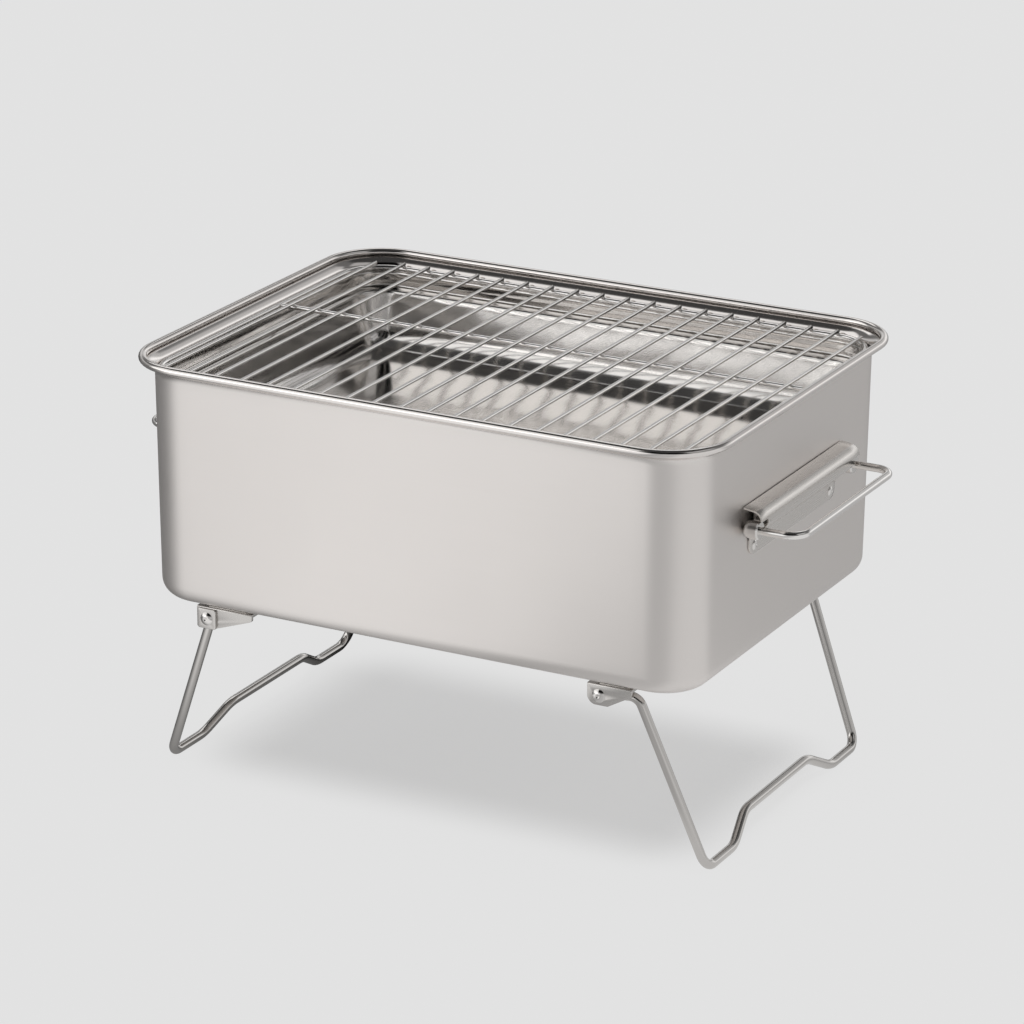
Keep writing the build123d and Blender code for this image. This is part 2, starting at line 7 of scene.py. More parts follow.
import json
import logging
import math
from collections.abc import Callable, Sequence
from dataclasses import dataclass, field
from enum import Enum
from typing import Any

import bmesh
import bpy
from mathutils import Matrix, Vector, noise

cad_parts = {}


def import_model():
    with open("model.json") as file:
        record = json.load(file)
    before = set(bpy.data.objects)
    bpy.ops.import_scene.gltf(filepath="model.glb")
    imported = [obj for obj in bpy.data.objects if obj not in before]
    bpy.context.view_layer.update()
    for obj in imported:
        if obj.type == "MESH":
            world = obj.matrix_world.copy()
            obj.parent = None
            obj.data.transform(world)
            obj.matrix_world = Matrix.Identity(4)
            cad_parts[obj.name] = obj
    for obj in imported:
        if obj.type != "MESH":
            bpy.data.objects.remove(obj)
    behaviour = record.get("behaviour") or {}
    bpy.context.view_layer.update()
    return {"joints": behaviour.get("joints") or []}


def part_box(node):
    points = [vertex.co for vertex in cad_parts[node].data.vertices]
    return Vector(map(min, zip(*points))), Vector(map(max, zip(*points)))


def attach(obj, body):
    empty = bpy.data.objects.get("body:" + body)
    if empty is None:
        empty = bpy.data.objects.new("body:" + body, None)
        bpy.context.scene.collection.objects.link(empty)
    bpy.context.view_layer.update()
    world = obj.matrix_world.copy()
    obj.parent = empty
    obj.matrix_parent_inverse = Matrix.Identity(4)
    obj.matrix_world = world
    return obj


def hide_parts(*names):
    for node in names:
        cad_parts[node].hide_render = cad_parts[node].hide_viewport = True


LOG = logging.getLogger("grill")
MM = 0.001
UP = Vector((0.0, 0.0, 1.0))
SMOOTH_ANGLE = math.radians(35.0)
LEAST_ROUGHNESS = 0.02


class Body(Enum):
    """Moving bodies of the grill."""

    TUB = "tub"
    PAN = "pan"
    GRATE = "cooking_grate"
    LEG_LEFT = "leg_left"
    LEG_RIGHT = "leg_right"
    HANDLE_LEFT = "handle_left"
    HANDLE_RIGHT = "handle_right"


class Side(Enum):
    """End of the tub that a leg or a handle belongs to."""

    LEFT = -1
    RIGHT = 1

    @property
    def word(self) -> str:
        """Name of the side as the node names use it."""
        return self.name.lower()


class Slot(Enum):
    """Material slots of the record."""

    SATIN = "satin_steel"
    POLISHED = "polished_steel"
    WIRE = "wire_steel"


class Grain(Enum):
    """Direction that the fine lines of a finish run in, as the stretch of their pattern."""

    NONE = (1.0, 1.0, 1.0)
    ALONG_X = (0.02, 1.0, 1.0)
    ALONG_Y = (1.0, 0.02, 1.0)
    LEVEL = (0.02, 0.02, 1.0)


class TreeMaker:
    """Adds nodes to one tree and joins them by the names of their sockets."""

    def __init__(self, tree: bpy.types.NodeTree) -> None:
        """Keep the tree that the nodes go into."""
        self.tree = tree

    def add(self, kind: str, inputs: dict[Any, Any] | None = None, **settings: Any) -> bpy.types.Node:
        """Add one node.

        Args:
            kind: Blender's type name of the node.
            inputs: Value or source socket of each named input.
            settings: Properties of the node itself.

        Returns:
            The new node.
        """
        node = self.tree.nodes.new(kind)
        for name, value in settings.items():
            setattr(node, name, value)
        for name, value in (inputs or {}).items():
            if isinstance(value, bpy.types.NodeSocket):
                self.tree.links.new(value, node.inputs[name])
            else:
                node.inputs[name].default_value = value
        return node

    def math(self, operation: str, first: Any, second: Any = 0.0, third: Any = 0.0) -> bpy.types.NodeSocket:
        """Add a maths node.

        Args:
            operation: Blender's name of the operation.
            first: Value or socket of the first operand.
            second: Value or socket of the second operand.
            third: Value or socket of the third operand.

        Returns:
            The node's result.
        """
        kind = "ShaderNodeMath"
        node = self.add(kind, {0: first, 1: second, 2: third}, operation=operation)
        return node.outputs[0]

    def socket(self, name: str, kind: str, value: Any = None, output: bool = False) -> None:
        """Add a named socket to the tree's interface.

        Args:
            name: Name that the socket shows.
            kind: Blender's socket type.
            value: Default value of an input.
            output: True for an output.
        """
        way = "OUTPUT" if output else "INPUT"
        made = self.tree.interface.new_socket(name=name, in_out=way, socket_type=kind)
        if value is not None:
            made.default_value = value


def new_object(name: str, mesh: bpy.types.Mesh) -> bpy.types.Object:
    """Link a mesh to the scene as an object at the origin.

    Args:
        name: Name of the piece.
        mesh: Mesh with its place in its vertices.

    Returns:
        The new object.
    """
    made = bpy.data.objects.new(name, mesh)
    bpy.context.scene.collection.objects.link(made)
    return made


def finished_mesh(mesh: bmesh.types.BMesh, name: str) -> bpy.types.Mesh:
    """Write an edit mesh into new mesh data and free it."""
    data = bpy.data.meshes.new(name)
    mesh.to_mesh(data)
    mesh.free()
    return data


def break_edges(piece: bpy.types.Object, angle: float, width: float = 0.25 * MM) -> None:
    """Add a small bevel on the edges of a piece that turn by more than the angle."""
    bevel = piece.modifiers.new("broken edges", "BEVEL")
    bevel.width = width
    bevel.segments = 2
    bevel.limit_method = "ANGLE"
    bevel.angle_limit = angle


def settle(piece: bpy.types.Object) -> bpy.types.Object:
    """Turn a piece with live modifiers into a plain mesh.

    Args:
        piece: Object with modifiers.

    Returns:
        The same object, with the finished mesh and no modifier.
    """
    bpy.context.view_layer.update()
    graph = bpy.context.evaluated_depsgraph_get()
    finished = bpy.data.meshes.new_from_object(piece.evaluated_get(graph))
    piece.modifiers.clear()
    piece.data = finished
    return piece


def smooth(piece: bpy.types.Object, angle: float = SMOOTH_ANGLE) -> None:
    """Shade a piece smooth, with crisp edges where its faces turn by more than the angle."""
    piece.data.shade_smooth()
    piece.data.set_sharp_from_angle(angle=angle)


def dress(
    piece: bpy.types.Object,
    finish: "SteelFinish",
    body: Body,
    replaced: Sequence[str] = (),
) -> bpy.types.Object:
    """Give a finished piece its material, its body and the nodes that it stands for.

    Args:
        piece: Finished mesh object.
        finish: Finish that it wears.
        body: Body that it moves with.
        replaced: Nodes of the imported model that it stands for.

    Returns:
        The same object.
    """
    piece.data.materials.clear()
    piece.data.materials.append(finish.material())
    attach(piece, body.value)
    if replaced:
        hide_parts(*replaced)
    LOG.info("%s rides on %s", piece.name, body.value)
    return piece


def corner_arc(before: Vector, corner: Vector, after: Vector, radius: float, steps: int) -> list[Vector]:
    """Points of the arc that rounds one corner of a line, in two or three dimensions.

    Args:
        before: Point before the corner.
        corner: The corner itself.
        after: Point after the corner.
        radius: Radius of the bend.
        steps: Spaces between the arc's points.

    Returns:
        The arc's points, from the first run to the second.
    """
    back = (before - corner).normalized()
    ahead = (after - corner).normalized()
    half = back.angle(ahead) / 2
    centre = corner + (back + ahead).normalized() * (radius / math.sin(half))
    reach = radius / math.tan(half)
    first = (corner + back * reach - centre) / radius
    last = (corner + ahead * reach - centre) / radius
    turn = first.angle(last)
    points = []
    for step in range(steps + 1):
        share = step / steps
        mix = first * math.sin((1 - share) * turn) + last * math.sin(share * turn)
        points.append(centre + mix * (radius / math.sin(turn)))
    return points


def bent_line(points: Sequence[Vector], radii: Sequence[float], steps: int = 10) -> list[Vector]:
    """Line through the points with each inner corner rounded.

    Args:
        points: Corners of the line, with its two ends.
        radii: Bend radius of each inner corner.
        steps: Spaces between the points of each bend.

    Returns:
        The bent line's points.
    """
    line = [points[0]]
    for index, radius in enumerate(radii, start=1):
        line += corner_arc(points[index - 1], points[index], points[index + 1], radius, steps)
    line.append(points[-1])
    return line


def round_arc(centre: Vector, radius: float, start: float, sweep: float, steps: int) -> list[Vector]:
    """Points of an arc in a section, with its angles in degrees, anticlockwise from outwards."""
    return [
        centre + Vector((math.cos(angle), math.sin(angle))) * radius
        for angle in (math.radians(start + sweep * step / steps) for step in range(steps + 1))
    ]


def side_line(line: Sequence[Vector], distance: float) -> list[Vector]:
    """Line at a distance to the right of a section's middle line.

    Args:
        line: Middle line of a sheet, in two dimensions.
        distance: Distance to the right, or to the left where it is negative.

    Returns:
        As many points as the middle line has.
    """
    moved = []
    for index, point in enumerate(line):
        ahead = line[min(index + 1, len(line) - 1)]
        behind = line[max(index - 1, 0)]
        along = (ahead - behind).normalized()
        moved.append(point + Vector((along.y, -along.x)) * distance)
    return moved


@dataclass(frozen=True)
class Ring:
    """One level outline of a drawn sheet."""

    half_x: float
    half_y: float
    corner: float
    height: float
    polish: float


@dataclass(frozen=True)
class Drawing:
    """Rounded rectangle that a sheet's section is carried round."""

    half_x: float
    half_y: float
    corner: float
    least_corner: float = 4 * MM
    corner_steps: int = 14
    side_step: float = 11 * MM

    def ring(self, out: float, height: float, polish: float) -> Ring:
        """Level outline at a distance outside the rectangle and at a height."""
        corner = max(self.corner + out, self.least_corner)
        return Ring(self.half_x + out, self.half_y + out, corner, height, polish)

    def outline(self, ring: Ring) -> list[Vector]:
        """Points of one ring, as many for every ring.

        Args:
            ring: The ring to set out.

        Returns:
            Points anticlockwise from the start of the right side.
        """
        long_steps = round(2 * self.half_x / self.side_step)
        short_steps = round(2 * self.half_y / self.side_step)
        reach_x, reach_y = ring.half_x - ring.corner, ring.half_y - ring.corner
        corners = [
            (Vector((reach_x, reach_y)), short_steps, 0.0),
            (Vector((-reach_x, reach_y)), long_steps, 90.0),
            (Vector((-reach_x, -reach_y)), short_steps, 180.0),
            (Vector((reach_x, -reach_y)), long_steps, 270.0),
        ]
        points: list[Vector] = []
        for index, (centre, steps, start) in enumerate(corners):
            bend = round_arc(centre, ring.corner, start, 90.0, self.corner_steps)
            last_centre, last_start = corners[index - 1][0], corners[index - 1][2]
            leaving = round_arc(last_centre, ring.corner, last_start + 90.0, 0.0, 1)[0]
            run = [leaving.lerp(bend[0], step / steps) for step in range(1, steps)]
            points += run + bend
        return [Vector((point.x, point.y, ring.height)) for point in points]


@dataclass(frozen=True)
class Waviness:
    """Slow unevenness that drawing leaves in a sheet."""

    height: float
    spacing: float
    seed: float = 0.0

    def at(self, point: Vector) -> float:
        """Height of the unevenness at a point."""
        where = point / self.spacing + Vector((self.seed, self.seed, self.seed))
        return self.height * noise.noise(where)


def drawn_sheet(
    name: str,
    drawing: Drawing,
    middle: Sequence[Vector],
    thickness: float,
    polish: Callable[[float, bool], float],
    waviness: Waviness,
    floor_rings: int = 6,
) -> bpy.types.Object:
    """Carry a sheet's section round a rounded rectangle and close its floor.

    Args:
        name: Name of the piece.
        drawing: Rectangle that the section is carried round.
        middle: Middle line of the section, from the floor's edge to the free edge.
        thickness: Thickness of the sheet.
        polish: Share of polish at a height, outside or inside.
        waviness: Unevenness of the sheet.
        floor_rings: Rings between the floor's edge and its middle.

    Returns:
        The sheet as one closed mesh.
    """
    outer = side_line(middle, thickness / 2)
    inner = side_line(middle, -thickness / 2)
    end, along = middle[-1], (middle[-1] - middle[-2]).normalized()
    start = math.degrees(math.atan2(-along.x, along.y))
    rounded = round_arc(end, thickness / 2, start, 180.0, 6)[1:-1]
    rings = [drawing.ring(p.x, p.y, polish(p.y, False)) for p in outer]
    rings += [drawing.ring(p.x, p.y, polish(p.y, True)) for p in rounded + inner[::-1]]

    mesh = bmesh.new()
    layer = mesh.verts.layers.float.new("polish")
    floors = []
    for edge in (rings[0], rings[-1]):
        shares = [1 - step / floor_rings for step in range(1, floor_rings)]
        floors.append(
            [
                Ring(edge.half_x * s, edge.half_y * s, edge.corner * s, edge.height, edge.polish)
                for s in shares
            ]
        )
    stack = floors[0][::-1] + rings + floors[1]
    rows = []
    for ring in stack:
        row = []
        for point in drawing.outline(ring):
            vertex = mesh.verts.new(point)
            vertex[layer] = ring.polish
            row.append(vertex)
        rows.append(row)
    for lower, upper in zip(rows, rows[1:]):
        for index in range(len(lower)):
            mesh.faces.new((lower[index - 1], lower[index], upper[index], upper[index - 1]))
    mesh.faces.new(rows[0])
    mesh.faces.new(rows[-1][::-1])
    bmesh.ops.recalc_face_normals(mesh, faces=mesh.faces)
    mesh.normal_update()
    moves = [vertex.normal * waviness.at(vertex.co) for vertex in mesh.verts]
    for vertex, move in zip(mesh.verts, moves):
        vertex.co += move
    made = new_object(name, finished_mesh(mesh, name))
    smooth(made)
    return made


def turned(name: str, profile: Sequence[tuple[float, float]], steps: int = 40) -> bpy.types.Object:
    """Turn a profile round Z.

    Args:
        name: Name of the piece.
        profile: Radius and height of each point, from one end of the axis to the other.
        steps: Faces round the axis.

    Returns:
        The turned piece, which isn't linked to the scene.
    """
    mesh = bmesh.new()
    rows = []
    for radius, height in profile:
        if radius == 0.0:
            rows.append([mesh.verts.new((0.0, 0.0, height))] * steps)
            continue
        angles = [2 * math.pi * step / steps for step in range(steps)]
        rows.append([mesh.verts.new((radius * math.cos(a), radius * math.sin(a), height)) for a in angles])
    for lower, upper in zip(rows, rows[1:]):
        for index in range(steps):
            corners = (lower[index - 1], lower[index], upper[index], upper[index - 1])
            mesh.faces.new(dict.fromkeys(corners))
    bmesh.ops.recalc_face_normals(mesh, faces=mesh.faces)
    return bpy.data.objects.new(name, finished_mesh(mesh, name))


class GeometryTools:
    """Geometry node trees that sweep wires, lay out the bars and set out repeated pieces."""

    def __init__(self) -> None:
        """Build each tree once."""
        self.sweep = self._wire_sweep()
        self.bars = self._bar_field()
        self.set_out = self._set_out()

    @staticmethod
    def _new_tree(name: str) -> TreeMaker:
        """Start a geometry tree with a geometry input and output and a material."""
        maker = TreeMaker(bpy.data.node_groups.new(name, "GeometryNodeTree"))
        maker.socket("Geometry", "NodeSocketGeometry", output=True)
        maker.socket("Geometry", "NodeSocketGeometry")
        maker.socket("Material", "NodeSocketMaterial")
        return maker

    @staticmethod
    def _close_tree(
        maker: TreeMaker, shape: bpy.types.NodeSocket, source: bpy.types.Node
    ) -> bpy.types.NodeTree:
        """End a geometry tree in real meshes that carry the material."""
        real = maker.add("GeometryNodeRealizeInstances", {"Geometry": shape})
        painted = maker.add(
            "GeometryNodeSetMaterial",
            {"Geometry": real.outputs["Geometry"], "Material": source.outputs["Material"]},
        )
        maker.add("NodeGroupOutput", {"Geometry": painted.outputs["Geometry"]})
        return maker.tree

    def _wire_sweep(self) -> bpy.types.NodeTree:
        """Tree that sweeps a round wire along a mesh line."""
        maker = self._new_tree("Wire sweep")
        maker.socket("Radius", "NodeSocketFloat", 1 * MM)
        maker.socket("Sides", "NodeSocketInt", 24)
        source = maker.add("NodeGroupInput")
        line = maker.add("GeometryNodeMeshToCurve", {"Mesh": source.outputs["Geometry"]})
        circle = maker.add(
            "GeometryNodeCurvePrimitiveCircle",
            {"Resolution": source.outputs["Sides"], "Radius": source.outputs["Radius"]},
        )
        tube = maker.add(
            "GeometryNodeCurveToMesh",
            {"Curve": line.outputs["Curve"], "Profile Curve": circle.outputs["Curve"], "Fill Caps": True},
        )
        return self._close_tree(maker, tube.outputs["Mesh"], source)

    def _bar_field(self) -> bpy.types.NodeTree:
        """Tree that lays parallel bars across a frame wire with round corners."""
        maker = self._new_tree("Bar field")
        for name in ("First", "Pitch", "Frame X", "Frame Y", "Corner", "Overrun", "Height", "Radius"):
            maker.socket(name, "NodeSocketFloat", 1 * MM)
        maker.socket("Count", "NodeSocketInt", 20)
        maker.socket("Sides", "NodeSocketInt", 16)
        source = maker.add("NodeGroupInput").outputs
        start = maker.add("ShaderNodeCombineXYZ", {"X": source["First"], "Z": source["Height"]})
        step = maker.add("ShaderNodeCombineXYZ", {"X": source["Pitch"]})
        row = maker.add(
            "GeometryNodeMeshLine",
            {"Count": source["Count"], "Start Location": start.outputs[0], "Offset": step.outputs[0]},
        )
        place = maker.add("ShaderNodeSeparateXYZ", {0: maker.add("GeometryNodeInputPosition").outputs[0]})
        straight = maker.math("SUBTRACT", source["Frame X"], source["Corner"])
        away = maker.math("ABSOLUTE", place.outputs["X"])
        beyond = maker.math("MAXIMUM", maker.math("SUBTRACT", away, straight))
        square = maker.math("MULTIPLY", source["Corner"], source["Corner"])
        left = maker.math("SQRT", maker.math("SUBTRACT", square, maker.math("MULTIPLY", beyond, beyond)))
        reach = maker.math("ADD", maker.math("SUBTRACT", source["Frame Y"], source["Corner"]), left)
        half = maker.math("ADD", reach, source["Overrun"])
        unit = maker.add("GeometryNodeCurvePrimitiveLine", {"Start": (0, -1, 0), "End": (0, 1, 0)})
        scale = maker.add("ShaderNodeCombineXYZ", {"X": 1.0, "Y": half, "Z": 1.0})
        spread = maker.add(
            "GeometryNodeInstanceOnPoints",
            {
                "Points": row.outputs["Mesh"],
                "Instance": unit.outputs["Curve"],
                "Scale": scale.outputs[0],
            },
        )
        lines = maker.add("GeometryNodeRealizeInstances", {"Geometry": spread.outputs["Instances"]})
        circle = maker.add(
            "GeometryNodeCurvePrimitiveCircle", {"Resolution": source["Sides"], "Radius": source["Radius"]}
        )
        tube = maker.add(
            "GeometryNodeCurveToMesh",
            {
                "Curve": lines.outputs["Geometry"],
                "Profile Curve": circle.outputs["Curve"],
                "Fill Caps": True,
            },
        )
        return self._close_tree(maker, tube.outputs["Mesh"], source["Material"].node)

    def _set_out(self) -> bpy.types.NodeTree:
        """Tree that stands a piece on each point, turned to the way that the point faces."""
        maker = self._new_tree("Set out")
        maker.socket("Piece", "NodeSocketObject")
        source = maker.add("NodeGroupInput")
        facing = maker.add(
            "GeometryNodeInputNamedAttribute", {"Name": "facing"}, data_type="FLOAT_VECTOR"
        )
        turn = maker.add(
            "FunctionNodeAlignRotationToVector", {"Vector": facing.outputs["Attribute"]}, axis="Z"
        )
        piece = maker.add("GeometryNodeObjectInfo", {"Object": source.outputs["Piece"]})
        points = maker.add("GeometryNodeMeshToPoints", {"Mesh": source.outputs["Geometry"]})
        spread = maker.add(
            "GeometryNodeInstanceOnPoints",
            {
                "Points": points.outputs["Points"],
                "Instance": piece.outputs["Geometry"],
                "Rotation": turn.outputs["Rotation"],
            },
        )
        return self._close_tree(maker, spread.outputs["Instances"], source)

    @staticmethod
    def run(piece: bpy.types.Object, tree: bpy.types.NodeTree, values: dict[str, Any]) -> bpy.types.Object:
        """Run a tree on a piece and keep its result as a plain mesh.

        Args:
            piece: Object whose mesh the tree reads.
            tree: Geometry tree.
            values: Value of each named input.

        Returns:
            The same object with the finished mesh.
        """
        modifier = piece.modifiers.new(tree.name, "NODES")
        modifier.node_group = tree
        sockets = {s.name: s.identifier for s in tree.interface.items_tree if s.in_out == "INPUT"}
        for name, value in values.items():
            modifier[sockets[name]] = value
        return settle(piece)

    def wire(
        self,
        name: str,
        points: Sequence[Vector],
        radius: float,
        finish: "SteelFinish",
        sides: int = 28,
        closed: bool = False,
    ) -> bpy.types.Object:
        """Sweep a wire along a line of points.

        Args:
            name: Name of the piece.
            points: Middle line of the wire.
            radius: Radius of the wire.
            finish: Finish that it wears.
            sides: Faces round the wire.
            closed: True where the line ends where it starts.

        Returns:
            The wire as a plain mesh.
        """
        count = len(points)
        edges = [(index, index + 1) for index in range(count - 1)]
        if closed:
            edges.append((count - 1, 0))
        line = bpy.data.meshes.new(name)
        line.from_pydata([point[:] for point in points], edges, [])
        piece = new_object(name, line)
        values = {"Radius": radius, "Sides": sides, "Material": finish.material()}
        self.run(piece, self.sweep, values)
        smooth(piece)
        return piece

    def spread(
        self,
        name: str,
        pattern: bpy.types.Object,
        places: Sequence[tuple[Vector, Vector]],
        finish: "SteelFinish",
    ) -> bpy.types.Object:
        """Stand copies of one piece on points.

        Args:
            name: Name of the group of pieces.
            pattern: Piece to repeat, which is removed afterwards.
            places: Point and facing of each copy.
            finish: Finish that they wear.

        Returns:
            The copies as one plain mesh.
        """
        data = bpy.data.meshes.new(name)
        data.from_pydata([place[:] for place, _ in places], [], [])
        facing = data.attributes.new("facing", "FLOAT_VECTOR", "POINT")
        for index, (_, way) in enumerate(places):
            facing.data[index].vector = way
        piece = new_object(name, data)
        self.run(piece, self.set_out, {"Piece": pattern, "Material": finish.material()})
        bpy.data.objects.remove(pattern)
        smooth(piece)
        return piece


class FinishGroups:
    """Shader node groups that the steel finishes share."""

    def __init__(self) -> None:
        """Build each group once."""
        self.grain = self._grain()
        self.handling = self._handling()
        self.waves = self._waves()

    @staticmethod
    def _new_group(name: str, inputs: dict[str, float], outputs: dict[str, str]) -> TreeMaker:
        """Start a shader group that reads a vector and named numbers."""
        maker = TreeMaker(bpy.data.node_groups.new(name, "ShaderNodeTree"))
        maker.socket("Vector", "NodeSocketVector")
        for socket, value in inputs.items():
            maker.socket(socket, "NodeSocketFloat", value)
        for socket, kind in outputs.items():
            maker.socket(socket, kind, output=True)
        return maker

    def _grain(self) -> bpy.types.NodeTree:
        """Fine lines or grains that blasting, brushing or drawing leaves."""
        maker = self._new_group(
            "Steel grain",
            {"Spacing": 0.5 * MM, "Depth": 0.5},
            {"Height": "NodeSocketFloat", "Change": "NodeSocketFloat"},
        )
        source = maker.add("NodeGroupInput").outputs
        scale = maker.math("DIVIDE", 1.0, source["Spacing"])
        fine = maker.add(
            "ShaderNodeTexNoise",
            {"Vector": source["Vector"], "Scale": scale, "Detail": 3.0, "Roughness": 0.6},
        )
        coarse = maker.add(
            "ShaderNodeTexNoise",
            {"Vector": source["Vector"], "Scale": maker.math("MULTIPLY", scale, 0.23), "Detail": 2.0},
        )
        mixed = maker.math("ADD", fine.outputs[0], coarse.outputs[0])
        centred = maker.math("SUBTRACT", mixed, 1.0)
        scaled = maker.math("MULTIPLY", centred, source["Depth"])
        maker.add("NodeGroupOutput", {"Height": scaled, "Change": scaled})
        return maker.tree

    def _handling(self) -> bpy.types.NodeTree:
        """Faint cloudy marks that hands and cloths leave on steel."""
        maker = self._new_group(
            "Handling marks",
            {"Spacing": 60 * MM, "Strength": 0.05},
            {"Change": "NodeSocketFloat", "Tint": "NodeSocketFloat"},
        )
        source = maker.add("NodeGroupInput").outputs
        scale = maker.math("DIVIDE", 1.0, source["Spacing"])
        cloud = maker.add(
            "ShaderNodeTexNoise",
            {"Vector": source["Vector"], "Scale": scale, "Detail": 4.0, "Roughness": 0.55, "Distortion": 0.6},
        )
        centred = maker.math("SUBTRACT", cloud.outputs[0], 0.5)
        change = maker.math("MULTIPLY", centred, source["Strength"])
        tint = maker.math("SUBTRACT", 1.0, maker.math("MULTIPLY", change, 0.5))
        maker.add("NodeGroupOutput", {"Change": change, "Tint": tint})
        return maker.tree

    def _waves(self) -> bpy.types.NodeTree:
        """Slow ripples that drawing and polishing leave, which bend reflections."""
        maker = self._new_group(
            "Drawn waves", {"Spacing": 30 * MM, "Depth": 1.0}, {"Height": "NodeSocketFloat"}
        )
        source = maker.add("NodeGroupInput").outputs
        scale = maker.math("DIVIDE", 1.0, source["Spacing"])
        swell = maker.add(
            "ShaderNodeTexNoise",
            {"Vector": source["Vector"], "Scale": scale, "Detail": 1.5, "Roughness": 0.4},
        )
        height = maker.math("MULTIPLY", swell.outputs[0], source["Depth"])
        maker.add("NodeGroupOutput", {"Height": height})
        return maker.tree


@dataclass(frozen=True)
class SteelFinish:
    """One finish of stainless steel, and how its material is made."""

    name: str
    slot: Slot
    groups: FinishGroups
    colour: tuple[float, float, float]
    roughness: float
    grain: Grain = Grain.NONE
    grain_spacing: float = 0.6 * MM
    grain_change: float = 0.12
    grain_depth: float = 4e-6
    marks_spacing: float = 60 * MM
    marks_strength: float = 0.06
    wave_spacing: float = 30 * MM
    wave_depth: float = 0.0
    polished_roughness: float | None = None

    def material(self) -> bpy.types.Material:
        """Material of this finish, made the first time that it is asked for."""
        made = bpy.data.materials.get(self.name)
        return made if made else self._make()

    def _make(self) -> bpy.types.Material:
        """Build the material's nodes.

        Returns:
            The new material.
        """
        made = bpy.data.materials.new(self.name)
        made.use_nodes = True
        maker = TreeMaker(made.node_tree)
        made.node_tree.nodes.clear()
        place = maker.add("ShaderNodeTexCoord").outputs["Object"]
        stretched = maker.add("ShaderNodeMapping", {"Vector": place, "Scale": self.grain.value}).outputs[0]
        lines = {"Spacing": self.grain_spacing, "Depth": self.grain_change}
        grain = self._group(maker, self.groups.grain, stretched, lines)
        clouds = {"Spacing": self.marks_spacing, "Strength": self.marks_strength}
        marks = self._group(maker, self.groups.handling, place, clouds)
        roughness: Any = self.roughness
        if self.polished_roughness is not None:
            polish = maker.add("ShaderNodeAttribute", attribute_name="polish").outputs["Fac"]
            span = self.polished_roughness - self.roughness
            roughness = maker.math("MULTIPLY_ADD", polish, span, self.roughness)
        change = maker.math("ADD", grain.outputs["Change"], marks.outputs["Change"])
        rough = maker.math("ADD", roughness, change)
        colour = maker.add(
            "ShaderNodeMix",
            {"Factor": 1.0, "A": (*self.colour, 1.0), "B": marks.outputs["Tint"]},
            data_type="RGBA",
            blend_type="MULTIPLY",
        )
        normal = maker.add(
            "ShaderNodeBump",
            {"Height": grain.outputs["Height"], "Distance": self.grain_depth, "Strength": 1.0},
        ).outputs[0]
        if self.wave_depth:
            waves = self._group(
                maker, self.groups.waves, place, {"Spacing": self.wave_spacing, "Depth": 1.0}
            )
            normal = maker.add(
                "ShaderNodeBump",
                {"Height": waves.outputs["Height"], "Distance": self.wave_depth, "Normal": normal},
            ).outputs[0]
        shader = maker.add(
            "ShaderNodeBsdfPrincipled",
            {
                "Base Color": colour.outputs[2],
                "Metallic": 1.0,
                "Roughness": maker.math("MAXIMUM", rough, LEAST_ROUGHNESS),
                "Normal": normal,
            },
        )
        maker.add("ShaderNodeOutputMaterial", {"Surface": shader.outputs[0]})
        return made

    @staticmethod
    def _group(
        maker: TreeMaker, tree: bpy.types.NodeTree, vector: bpy.types.NodeSocket, values: dict[str, float]
    ) -> bpy.types.Node:
        """Place a shared group in the material with its own values."""
        node = maker.add("ShaderNodeGroup", node_tree=tree)
        maker.tree.links.new(vector, node.inputs["Vector"])
        for name, value in values.items():
            node.inputs[name].default_value = value
        return node


